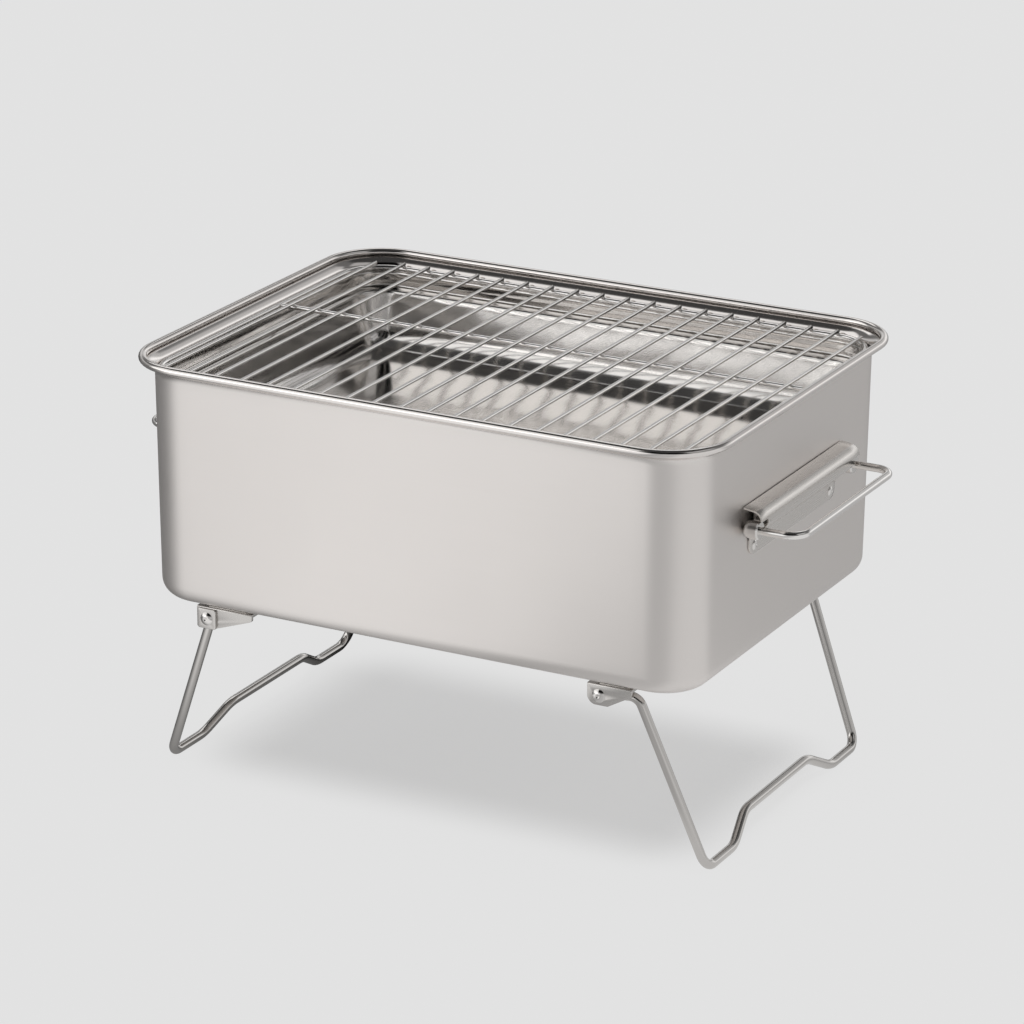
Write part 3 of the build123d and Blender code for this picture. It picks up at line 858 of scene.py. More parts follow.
@dataclass(frozen=True)
class Finishes:
    """The finishes of this grill."""

    tub: SteelFinish
    pan: SteelFinish
    grate_wire: SteelFinish
    leg_wire: SteelFinish
    grip_wire: SteelFinish
    sheet: SteelFinish
    hood: SteelFinish
    turned: SteelFinish

    @classmethod
    def make(cls, groups: FinishGroups) -> "Finishes":
        """Set out every finish."""
        return cls(
            tub=SteelFinish(
                "satin_tub", Slot.SATIN, groups, (0.80, 0.765, 0.74), 0.40,
                grain=Grain.LEVEL, grain_spacing=0.35 * MM, grain_change=0.05, grain_depth=2e-6,
                marks_spacing=90 * MM, marks_strength=0.05, polished_roughness=0.14,
            ),
            pan=SteelFinish(
                "polished_pan", Slot.POLISHED, groups, (0.83, 0.805, 0.78), 0.12,
                grain_spacing=1.5 * MM, grain_change=0.015, grain_depth=5e-7,
                marks_spacing=35 * MM, marks_strength=0.08, wave_spacing=26 * MM, wave_depth=0.24 * MM,
            ),
            grate_wire=SteelFinish(
                "bright_grate_wire", Slot.WIRE, groups, (0.90, 0.88, 0.86), 0.15,
                grain=Grain.ALONG_Y, grain_spacing=0.3 * MM, grain_change=0.10, grain_depth=3e-6,
                marks_spacing=25 * MM, marks_strength=0.10,
            ),
            # Set darker than the grate and grip wire, which are the same wire steel.
            leg_wire=SteelFinish(
                "bright_leg_wire", Slot.WIRE, groups, (0.60, 0.58, 0.56), 0.14,
                grain_spacing=0.8 * MM, grain_change=0.08, grain_depth=3e-6,
                marks_spacing=30 * MM, marks_strength=0.12,
            ),
            grip_wire=SteelFinish(
                "bright_grip_wire", Slot.WIRE, groups, (0.86, 0.84, 0.82), 0.12,
                grain_spacing=0.8 * MM, grain_change=0.06, grain_depth=2e-6,
                marks_spacing=30 * MM, marks_strength=0.10,
            ),
            # Set darker than the tub's satin steel.
            sheet=SteelFinish(
                "tumbled_sheet", Slot.SATIN, groups, (0.60, 0.58, 0.56), 0.26,
                grain_spacing=0.5 * MM, grain_change=0.08, grain_depth=4e-6,
                marks_spacing=20 * MM, marks_strength=0.10,
            ),
            hood=SteelFinish(
                "brushed_hood", Slot.SATIN, groups, (0.74, 0.71, 0.68), 0.27,
                grain=Grain.ALONG_Y, grain_spacing=0.2 * MM, grain_change=0.04, grain_depth=1e-6,
                marks_spacing=30 * MM, marks_strength=0.06,
            ),
            turned=SteelFinish(
                "turned_bright", Slot.POLISHED, groups, (0.74, 0.72, 0.70), 0.16,
                grain_spacing=0.3 * MM, grain_change=0.06, grain_depth=2e-6,
                marks_spacing=12 * MM, marks_strength=0.08,
            ),
        )


@dataclass
class Tub:
    """Deep-drawn tub with a flared rim that is rolled over, and the pan clips inside it."""

    finishes: Finishes
    sheet: float = 1.0 * MM
    roll_r: float = 2.7 * MM
    roll_turn: float = 285.0
    flare_r: float = 7.3 * MM
    corner: float = 32 * MM
    draft: float = 1.7 * MM
    bottom_r: float = 12 * MM
    wall_steps: int = 22
    waviness: Waviness = Waviness(0.10 * MM, 110 * MM, 3.0)

    def build(self) -> None:
        """Draw the shell and dress it and the clips."""
        low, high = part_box("tub_shell")
        roll_x, roll_y = high.x - self.roll_r, high.y - self.roll_r
        wall_top = high.z - 2 * self.roll_r - self.flare_r
        drawing = Drawing(roll_x - self.flare_r, roll_y - self.flare_r, self.corner)
        half = self.sheet / 2
        floor_bend = Vector((-self.draft - self.bottom_r, low.z + self.bottom_r))
        middle = round_arc(floor_bend, self.bottom_r - half, -90.0, 90.0, 12)
        foot = middle[-1]
        top = Vector((-half, wall_top))
        middle += [foot.lerp(top, step / self.wall_steps) for step in range(1, self.wall_steps)]
        flare = Vector((self.flare_r, wall_top))
        middle += round_arc(flare, self.flare_r + half, 180.0, -90.0, 12)
        roll = Vector((self.flare_r, high.z - self.roll_r))
        middle += round_arc(roll, self.roll_r - half, -90.0, self.roll_turn, 26)[1:]
        rim = wall_top + self.flare_r

        def polish(height: float, inside: bool) -> float:
            """Share of polish, which is full inside and on the rolled rim."""
            if inside:
                return 1.0
            share = (height - wall_top) / (rim - wall_top)
            return min(max(share, 0.0), 1.0)

        shell = drawn_sheet("tub_drawn_shell", drawing, middle, self.sheet, polish, self.waviness)
        dress(shell, self.finishes.tub, Body.TUB, ["tub_shell"])
        bevelled_copy("pan_clips", "pan_clip_angles", self.finishes.sheet, Body.TUB)


@dataclass
class CharcoalPan:
    """Polished pan: a bowl with a shelf round its mouth and an upright hemmed lip."""

    finishes: Finishes
    sheet: float = 1.0 * MM
    corner: float = 29.4 * MM
    lip_height: float = 10.8 * MM
    hem_r: float = 1.0 * MM
    hem_length: float = 4.0 * MM
    fold_r: float = 2.0 * MM
    shelf: float = 10.0 * MM
    mouth_r: float = 2.0 * MM
    taper: float = 9.0 * MM
    bottom_r: float = 17.0 * MM
    least_corner: float = 6.0 * MM
    wall_steps: int = 10
    waviness: Waviness = Waviness(0.16 * MM, 38 * MM, 11.0)

    def build(self) -> None:
        """Draw the pan and dress it."""
        low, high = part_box("charcoal_pan")
        drawing = Drawing(high.x, high.y, self.corner, self.least_corner, side_step=7 * MM)
        half = self.sheet / 2
        shelf_top = high.z - self.lip_height
        mouth = Vector((-self.shelf + half, shelf_top - half))
        floor = Vector((mouth.x - self.taper, low.z + half))
        inward = Vector((floor.x - 2 * self.bottom_r, floor.y))
        bend = corner_arc(inward, floor, mouth, self.bottom_r - half, 14)
        shelf_end = Vector((-half, mouth.y))
        lip_end = Vector((-half, high.z - half - self.hem_r))
        mouth_bend = corner_arc(floor, mouth, shelf_end, self.mouth_r, 6)
        wall = [bend[-1].lerp(mouth_bend[0], s / self.wall_steps) for s in range(1, self.wall_steps)]
        fold = corner_arc(mouth, shelf_end, lip_end, self.fold_r, 6)
        hem = round_arc(Vector((lip_end.x - self.hem_r, lip_end.y)), self.hem_r, 0.0, 180.0, 10)
        end = hem[-1] - Vector((0.0, self.hem_length))
        middle = bend + wall + mouth_bend + fold + hem + [end]
        pan = drawn_sheet(
            "charcoal_pan_drawn", drawing, middle, self.sheet, lambda _height, _inside: 1.0,
            self.waviness, floor_rings=14,
        )
        dress(pan, self.finishes.pan, Body.PAN, ["charcoal_pan"])


@dataclass
class CookingGrate:
    """Frame wire, bars and brace of the grate, with the welds between them."""

    finishes: Finishes
    tools: GeometryTools
    corner: float = 27.9 * MM
    bar_count: int = 20
    bar_overrun: float = 1.4 * MM
    weld_r: float = 1.5 * MM
    weld_height: float = 0.55 * MM

    def build(self) -> None:
        """Make the wires and the welds and dress them."""
        wire = self.finishes.grate_wire
        low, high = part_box("grate_frame")
        frame_r = (high.z - low.z) / 2
        frame_x, frame_y = high.x - frame_r, high.y - frame_r
        drawing = Drawing(frame_x, frame_y, self.corner, side_step=40 * MM)
        level = (high.z + low.z) / 2
        loop = drawing.outline(drawing.ring(0.0, level, 0.0))
        ring = self.tools.wire("grate_frame_wire", loop, frame_r, wire, closed=True)
        dress(ring, wire, Body.GRATE, ["grate_frame"])

        bar_low, bar_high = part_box("grate_bars")
        bar_r = (bar_high.z - bar_low.z) / 2
        bar_z = (bar_high.z + bar_low.z) / 2
        first_x, last_x = bar_low.x + bar_r, bar_high.x - bar_r
        pitch = (last_x - first_x) / (self.bar_count - 1)
        field_mesh = bpy.data.meshes.new("grate_bar_wires")
        bars = new_object("grate_bar_wires", field_mesh)
        values = {
            "First": first_x, "Pitch": pitch, "Frame X": frame_x, "Frame Y": frame_y, "Corner": self.corner,
            "Overrun": self.bar_overrun, "Height": bar_z, "Radius": bar_r,
            "Count": self.bar_count, "Sides": 20, "Material": wire.material(),
        }
        self.tools.run(bars, self.tools.bars, values)
        smooth(bars)
        dress(bars, wire, Body.GRATE, ["grate_bars"])

        brace_low, brace_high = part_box("grate_brace")
        brace_y, brace_z = (brace_low.y + brace_high.y) / 2, (brace_low.z + brace_high.z) / 2
        brace_r = (brace_high.z - brace_low.z) / 2
        ends = [Vector((x, brace_y, brace_z)) for x in (brace_low.x, brace_high.x)]
        brace = self.tools.wire("grate_brace_wire", ends, brace_r, wire)
        dress(brace, wire, Body.GRATE, ["grate_brace"])

        places = []
        for index in range(self.bar_count):
            x = first_x + index * pitch
            beyond = max(0.0, abs(x) - (frame_x - self.corner))
            reach = frame_y - self.corner + math.sqrt(self.corner**2 - beyond**2)
            crossings = (-reach, brace_y, reach)
            places += [(Vector((x, y, bar_z - bar_r)), UP) for y in crossings]
        dome = [(self.weld_r * math.cos(a), self.weld_height * math.sin(a)) for a in half_circle(8)]
        nugget = turned("weld_pattern", [(max(r, 0.0), h) for r, h in dome], 14)
        welds = self.tools.spread("grate_welds", nugget, places, wire)
        dress(welds, wire, Body.GRATE)


def half_circle(steps: int) -> list[float]:
    """Angles from straight down to straight up, whose cosines end in a plain zero."""
    return [math.radians(-90.0 + 180.0 * step / steps) for step in range(steps + 1)]


def bevelled_copy(node: str, name: str, finish: SteelFinish, body: Body) -> bpy.types.Object:
    """Copy a node's mesh, merge its faces and break its sharp edges.

    Args:
        node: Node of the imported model, which the copy stands for.
        name: Name of the copy.
        finish: Finish that it wears.
        body: Body that it moves with.

    Returns:
        The dressed copy.
    """
    source = bpy.data.objects[node].data
    mesh = bmesh.new()
    mesh.from_mesh(source)
    bmesh.ops.remove_doubles(mesh, verts=mesh.verts, dist=0.002 * MM)
    bmesh.ops.dissolve_limit(
        mesh, angle_limit=math.radians(1.0), verts=mesh.verts, edges=mesh.edges
    )
    piece = new_object(name, finished_mesh(mesh, name))
    break_edges(piece, SMOOTH_ANGLE)
    settle(piece)
    smooth(piece)
    return dress(piece, finish, body, [node])


@dataclass
class WireLeg:
    """Leg bent from one wire, with an eye at each end and a foot whose middle is raised."""

    finishes: Finishes
    tools: GeometryTools
    side: Side
    pivot: Vector
    knee_out: float = 0.0
    knee_drop: float = 8.3 * MM
    wire_r: float = 3.0 * MM
    bend_r: float = 10.0 * MM
    knee_bend_r: float = 8.0 * MM
    step_bend_r: float = 24.0 * MM
    foot_x: float = 189 * MM
    foot_y: float = 111 * MM
    step_outer_y: float = 72 * MM
    step_inner_y: float = 46 * MM
    step_rise: float = 14 * MM
    eye_y: float = 121.2 * MM
    eye_r: float = 5.0 * MM
    eye_thickness: float = 5.0 * MM
    eye_bore_r: float = 2.31 * MM

    def line(self) -> list[Vector]:
        """Middle line of the wire, from the front eye to the back one."""
        sign = self.side.value
        eye = Vector((self.pivot.x, -self.eye_y, self.pivot.z))
        knees = []
        if self.knee_out:
            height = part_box("tub_shell")[0].z - self.knee_drop
            knees = [Vector((self.pivot.x + sign * self.knee_out, -self.eye_y, height))]
        top = knees[0] if knees else eye
        corner = Vector((sign * self.foot_x, -self.foot_y, self.wire_r))
        slope = Vector((top.x - corner.x, 0.0, top.z - corner.z)).normalized()
        step_out = Vector((corner.x, -self.step_outer_y, corner.z))
        step_in = Vector((corner.x, -self.step_inner_y, corner.z)) + slope * self.step_rise
        first = ((top if knees else corner) - eye).normalized()
        half = [eye + first * self.wire_r, *knees, corner, step_out, step_in]
        back = [Vector((p.x, -p.y, p.z)) for p in reversed(half)]
        radii = [self.knee_bend_r] * len(knees) + [self.bend_r] + [self.step_bend_r] * 2
        return bent_line(half + back, radii + radii[::-1], 12)

    def eyes(self) -> bpy.types.Object:
        """Two flat eyes with their bores."""
        edge = 0.5 * MM
        half = self.eye_thickness / 2
        profile = [
            (self.eye_bore_r, -half), (self.eye_r - edge, -half), (self.eye_r, edge - half),
            (self.eye_r, half - edge), (self.eye_r - edge, half), (self.eye_bore_r, half),
            (self.eye_bore_r, -half),
        ]
        pattern = turned("eye_pattern", profile)
        merge_doubles(pattern)
        places = [
            (Vector((self.pivot.x, y, self.pivot.z)), Vector((0.0, 1.0, 0.0)))
            for y in (-self.eye_y, self.eye_y)
        ]
        return self.tools.spread("eyes", pattern, places, self.finishes.leg_wire)

    def build(self) -> None:
        """Sweep the wire, weld the eyes to it and dress it."""
        name = f"leg_{self.side.word}_bail"
        finish = self.finishes.leg_wire
        leg = self.tools.wire(name, self.line(), self.wire_r, finish, sides=32)
        eyes = self.eyes()
        union = leg.modifiers.new("eyes", "BOOLEAN")
        union.operation = "UNION"
        union.solver = "EXACT"
        union.object = eyes
        settle(leg)
        bpy.data.objects.remove(eyes)
        smooth(leg)
        body = Body.LEG_LEFT if self.side is Side.LEFT else Body.LEG_RIGHT
        dress(leg, finish, body, [f"leg_{self.side.word}_wire"])


def merge_doubles(piece: bpy.types.Object) -> None:
    """Merge points of a piece that lie together and turn its faces outwards."""
    mesh = bmesh.new()
    mesh.from_mesh(piece.data)
    bmesh.ops.remove_doubles(mesh, verts=mesh.verts, dist=0.001 * MM)
    bmesh.ops.recalc_face_normals(mesh, faces=mesh.faces)
    mesh.to_mesh(piece.data)
    mesh.free()


def rivet_profile(
    shank_r: float, grip: float, head_r: float, head_height: float, tail_height: float, steps: int = 8
) -> list[tuple[float, float]]:
    """Profile of a rivet whose head stands on zero, has a dimple and whose shank goes down.

    Args:
        shank_r: Radius of the shank.
        grip: Length of the shank between head and tail.
        head_r: Radius of the domed head and of the tail.
        head_height: Height of the head.
        tail_height: Height of the tail.
        steps: Spaces between the points of the dome.

    Returns:
        Radius and height of each point, from the tail to the bottom of the dimple.
    """
    dome_r = (head_r**2 + head_height**2) / (2 * head_height)
    edge = 0.12 * MM
    low = -grip - tail_height
    points = [(0.0, low), (head_r - edge, low), (head_r, low + edge), (head_r, -grip)]
    points += [(shank_r, -grip), (shank_r, 0.0), (head_r, 0.0), (head_r, edge)]
    reach = math.asin(head_r / dome_r)
    least = math.cos(reach)
    dimple_r, dimple_depth = 0.30 * head_r, 0.45 * head_height
    for step in range(1, steps + 1):
        angle = reach * (1 - step / steps)
        height = edge + (head_height - edge) * (math.cos(angle) - least) / (1 - least)
        radius = dome_r * math.sin(angle)
        if radius > dimple_r:
            points.append((radius, height))
    brim = points[-1][1]
    floor = (0.4 * dimple_r, brim - 0.8 * dimple_depth)
    return [*points, (dimple_r, brim), floor, (0.0, brim - dimple_depth)]


@dataclass
class LegFittings:
    """Brackets, pads, pin plates and pivot pins that carry the legs."""

    finishes: Finishes
    tools: GeometryTools
    left_pivot: Vector
    right_pivot: Vector
    ear_y: float = 126.5 * MM
    plate: float = 1.5 * MM
    ear: float = 2.0 * MM
    eye: float = 6.9 * MM
    pin_r: float = 2.25 * MM
    head_r: float = 4.3 * MM
    head_height: float = 1.6 * MM

    def build(self) -> None:
        """Dress the brackets and make the pins."""
        sheet = self.finishes.sheet
        for end in ("left", "right"):
            for face in ("front", "back"):
                bevelled_copy(f"leg_bracket_{face}_{end}", f"leg_bracket_{face}_{end}_sheet", sheet, Body.TUB)
        bevelled_copy("bracket_pads", "bracket_pad_blocks", sheet, Body.TUB)
        bevelled_copy("leg_left_pivot_plates", "pivot_plate_squares", sheet, Body.TUB)
        self.pins("leg_left_pivot_pins", self.left_pivot, self.plate)
        self.pins("leg_right_pivot_pins", self.right_pivot, 0.0)

    def pins(self, node: str, pivot: Vector, packing: float) -> None:
        """Make the front and back pins of one leg.

        Args:
            node: Node that they stand for.
            pivot: Point on the leg's hinge line.
            packing: Thickness of the plate under the head.
        """
        grip = packing + self.ear + self.eye
        profile = rivet_profile(self.pin_r, grip, self.head_r, self.head_height, self.head_height)
        pattern = turned("pin_pattern", profile)
        places = []
        for sign in (-1, 1):
            seat = Vector((pivot.x, sign * (self.ear_y + packing), pivot.z))
            places.append((seat, Vector((0.0, sign, 0.0))))
        finish = self.finishes.turned
        pins = self.tools.spread(f"{node}_turned", pattern, places, finish)
        dress(pins, finish, Body.TUB, [node])


@dataclass
class DropHandle:
    """Wire grip in turned barrels on a rod, under a bent sheet hood that is riveted to the tub."""

    finishes: Finishes
    tools: GeometryTools
    side: Side
    pivot: Vector
    pivot_out: float = 6.1 * MM
    half: float = 69.5 * MM
    grip_r: float = 2.5 * MM
    grip_reach: float = 31 * MM
    grip_bend_r: float = 11 * MM
    wire_seat: float = 2.05 * MM
    rod_r: float = 1.75 * MM
    barrel_r: float = 5.95 * MM
    barrel_front_r: float = 5.1 * MM
    barrel_front: float = 5.1 * MM
    barrel_straight: float = 4.1 * MM
    sheet: float = 1.2 * MM
    roof_half: float = 71.6 * MM
    plate_half: float = 62.5 * MM
    roof_height: float = 13.0 * MM
    roof_slope: float = 1.8 * MM
    nose_out: float = 12.5 * MM
    nose_r: float = 6.0 * MM
    nose_bottom: float = 1.5 * MM
    nose_end: float = 4.6 * MM
    fold: float = 9.5 * MM
    fold_r: float = 5.0 * MM
    plate_bottom: float = 20.5 * MM
    plate_corner_r: float = 7.0 * MM
    draft_angle: float = math.atan2(1.7, 145.3)
    lug_y: float = 59.0 * MM
    lug_gap: float = 2.2 * MM
    rivet_y: float = 55.5 * MM
    rivet_drop: float = 15.0 * MM
    rivet_r: float = 1.6 * MM
    rivet_head_r: float = 3.3 * MM
    rivet_head: float = 1.5 * MM
    rivet_tail: float = 1.0 * MM
    tub_sheet: float = 1.0 * MM

    @property
    def wall_x(self) -> float:
        """Distance of the tub's wall from the middle at the hinge's height."""
        return abs(self.pivot.x) - self.pivot_out

    @property
    def body(self) -> Body:
        """Body that the grip moves with."""
        return Body.HANDLE_LEFT if self.side is Side.LEFT else Body.HANDLE_RIGHT

    def wall_at(self, drop: float) -> float:
        """Distance of the tub's wall from the middle, below the hinge line."""
        return self.wall_x - drop * math.tan(self.draft_angle)

    def placed(self, x: float, y: float, z: float) -> Vector:
        """Point at a distance outwards from the middle of the tub, on this handle's side."""
        return Vector((self.side.value * x, y, z))

    def build(self) -> None:
        """Make the hood, its rivets, the barrels, the rod and the grip."""
        self.hood()
        self.rivets()
        self.barrels()
        word = self.side.word
        wire = self.finishes.grip_wire
        level = self.pivot.z
        start, reach = abs(self.pivot.x) + self.wire_seat, abs(self.pivot.x) + self.grip_reach
        corners = [
            self.placed(start, -self.half, level), self.placed(reach, -self.half, level),
            self.placed(reach, self.half, level), self.placed(start, self.half, level),
        ]
        line = bent_line(corners, [self.grip_bend_r] * 2, 14)
        grip = self.tools.wire(f"handle_{word}_grip_bail", line, self.grip_r, wire, sides=32)
        dress(grip, wire, self.body, [f"handle_{word}_grip"])
        ends = [Vector((self.pivot.x, y, level)) for y in (-self.half, self.half)]
        rod = self.tools.wire(f"handle_{word}_hinge_rod", ends, self.rod_r, wire, sides=20)
        dress(rod, wire, self.body, [f"handle_{word}_rod"])

    def section(self) -> tuple[list[Vector], int]:
        """Middle line of the hood's sheet, outwards distance and height.

        Returns:
            The line, and the index of the point where the hood narrows to its plate.
        """
        top, level, half = self.pivot.z + self.roof_height, self.pivot.z, self.sheet / 2
        roof = Vector((self.wall_x + half, top))
        nose = Vector((self.wall_x + self.nose_out, top - self.roof_slope))
        end = Vector((nose.x, level + self.nose_end))
        under = Vector((nose.x, level + self.nose_bottom))
        fold = Vector((self.wall_at(self.fold) + half, level - self.fold))
        foot = Vector((self.wall_at(self.plate_bottom) + half, level - self.plate_bottom))
        first = [roof] + corner_arc(roof, nose, end, self.nose_r, 14)
        narrow = min(range(len(first)), key=lambda i: abs(first[i].y - end.y))
        low_bend = corner_arc(nose, under, fold, self.fold_r, 8)
        high = [p for p in first if p.y > low_bend[0].y]
        middle = high + low_bend + corner_arc(under, fold, foot, self.fold_r, 8)
        steps = 12
        last = middle[-1]
        middle += [last.lerp(foot, step / steps) for step in range(1, steps + 1)]
        return middle, min(narrow, len(high) - 1)

    def hood(self) -> None:
        """Bend the hood from one strip of sheet and add the two lugs that hold the rod."""
        middle, narrow = self.section()
        foot = middle[-1].y
        mesh = bmesh.new()
        inner = [self.plate_half * share for share in (-1, -0.9, -0.5, 0, 0.5, 0.9, 1)]
        rows = []
        for index, point in enumerate(middle):
            rise = point.y - foot
            half = self.plate_half
            if rise < self.plate_corner_r:
                gap = self.plate_corner_r - rise
                half -= self.plate_corner_r - math.sqrt(self.plate_corner_r**2 - gap**2)
            across = [y * half / self.plate_half for y in inner]
            if index <= narrow:
                across = [-self.roof_half, *across, self.roof_half]
            rows.append([mesh.verts.new(self.placed(point.x, y, point.y)) for y in across])
        for lower, upper in zip(rows, rows[1:]):
            if len(lower) > len(upper):
                lower = lower[1:-1]
            for index in range(len(lower) - 1):
                mesh.faces.new((lower[index], lower[index + 1], upper[index + 1], upper[index]))
        bmesh.ops.recalc_face_normals(mesh, faces=mesh.faces)
        word = self.side.word
        piece = new_object(f"handle_{word}_hood_sheet", finished_mesh(mesh, "hood"))
        wall = piece.modifiers.new("sheet", "SOLIDIFY")
        wall.thickness = self.sheet
        wall.offset = 0.0
        wall.use_even_offset = True
        break_edges(piece, math.radians(50.0))
        settle(piece)
        merge_doubles(piece)
        smooth(piece)
        dress(piece, self.finishes.hood, Body.TUB, [f"handle_{word}_hood"])
        self.lugs(middle)

    def lugs(self, middle: Sequence[Vector]) -> None:
        """Close the hood's section with a lug beside each barrel.

        Args:
            middle: Middle line of the hood's sheet.
        """
        inside = side_line(middle, -self.sheet / 2)
        inset = self.wall_x + self.lug_gap
        lowest = self.pivot.z - self.fold + self.sheet
        rim = [p for p in inside if p.x > inset and p.y > lowest]
        rim = [Vector((inset, rim[0].y)), *rim, Vector((inset, lowest))]
        mesh = bmesh.new()
        for sign in (-1, 1):
            near, far = sign * self.lug_y, sign * (self.lug_y + self.sheet)
            fronts = [mesh.verts.new(self.placed(p.x, near, p.y)) for p in rim]
            backs = [mesh.verts.new(self.placed(p.x, far, p.y)) for p in rim]
            mesh.faces.new(fronts)
            mesh.faces.new(backs[::-1])
            for index in range(len(rim)):
                mesh.faces.new((fronts[index - 1], fronts[index], backs[index], backs[index - 1]))
        bmesh.ops.recalc_face_normals(mesh, faces=mesh.faces)
        piece = new_object(f"handle_{self.side.word}_rod_lugs", finished_mesh(mesh, "lugs"))
        smooth(piece)
        dress(piece, self.finishes.hood, Body.TUB)

    def rivets(self) -> None:
        """Set the two rivets that hold the hood to the drafted wall."""
        outward = self.placed(math.cos(self.draft_angle), 0.0, -math.sin(self.draft_angle))
        foot_z = self.pivot.z - self.rivet_drop
        seat = self.placed(self.wall_at(self.rivet_drop), 0.0, foot_z) + outward * self.sheet
        grip = self.sheet + self.tub_sheet
        profile = rivet_profile(self.rivet_r, grip, self.rivet_head_r, self.rivet_head, self.rivet_tail)
        pattern = turned("rivet_pattern", profile, 32)
        places = [(seat + Vector((0.0, y, 0.0)), outward) for y in (-self.rivet_y, self.rivet_y)]
        finish = self.finishes.turned
        word = self.side.word
        rivets = self.tools.spread(f"handle_{word}_rivet_pair", pattern, places, finish)
        dress(rivets, finish, Body.TUB, [f"handle_{word}_rivets"])

    def barrels(self) -> None:
        """Turn the two barrels that hold the grip's ends."""
        edge = 0.3 * MM
        back = [
            (self.barrel_r * math.cos(a), self.barrel_r * math.sin(a))
            for a in (math.radians(-90.0 + 7.5 * step) for step in range(1, 13))
        ]
        front_r, front = self.barrel_front_r, self.barrel_front
        profile = [(0.0, -self.barrel_r), *back, (self.barrel_r, self.barrel_straight)]
        profile += [(front_r + edge, front - edge), (front_r, front), (self.grip_r, front)]
        profile += [(self.grip_r, self.wire_seat), (0.0, self.wire_seat)]
        pattern = turned("barrel_pattern", profile)
        outward = self.placed(1.0, 0.0, 0.0)
        places = [(Vector((self.pivot.x, y, self.pivot.z)), outward) for y in (-self.half, self.half)]
        word = self.side.word
        finish = self.finishes.turned
        barrels = self.tools.spread(f"handle_{word}_barrel_pair", pattern, places, finish)
        dress(barrels, finish, self.body, [f"handle_{word}_barrels"])


@dataclass(frozen=True)
class LightZone:
    """One soft-edged zone of the surroundings that is brighter or dimmer than the rest.

    Azimuth zero is the front and ninety the right side. All angles are in degrees.
    """

    azimuth: float
    half_width: float
    low: float
    high: float
    change: float
    side_soft: float = 12.0
    level_soft: float = 6.0

    def weight(self, maker: TreeMaker, flat: Any, rise: Any) -> bpy.types.NodeSocket:
        """Add the nodes that say how far a direction lies in the zone.

        Args:
            maker: Tree that the nodes go into.
            flat: Level direction, as a unit vector.
            rise: Elevation of the direction, in degrees.

        Returns:
            One inside the zone and zero outside it.
        """
        above = self._ramp(maker, rise, self.low - self.level_soft, self.low)
        below = self._ramp(maker, rise, self.high + self.level_soft, self.high)
        share = maker.math("MULTIPLY", above, below)
        if self.half_width >= 180.0:
            return share
        turn = math.radians(self.azimuth)
        middle = (math.sin(turn), -math.cos(turn), 0.0)
        dot = maker.add("ShaderNodeVectorMath", {0: flat, 1: middle}, operation="DOT_PRODUCT")
        outer = math.cos(math.radians(min(self.half_width + self.side_soft, 179.0)))
        inner = math.cos(math.radians(self.half_width))
        return maker.math("MULTIPLY", share, self._ramp(maker, dot.outputs["Value"], outer, inner))

    @staticmethod
    def _ramp(maker: TreeMaker, value: Any, zero: float, one: float) -> bpy.types.NodeSocket:
        """Rise smoothly from zero at one value to one at another."""
        inputs = {"Value": value, "From Min": zero, "From Max": one}
        return maker.add("ShaderNodeMapRange", inputs, interpolation_type="SMOOTHSTEP").outputs[0]


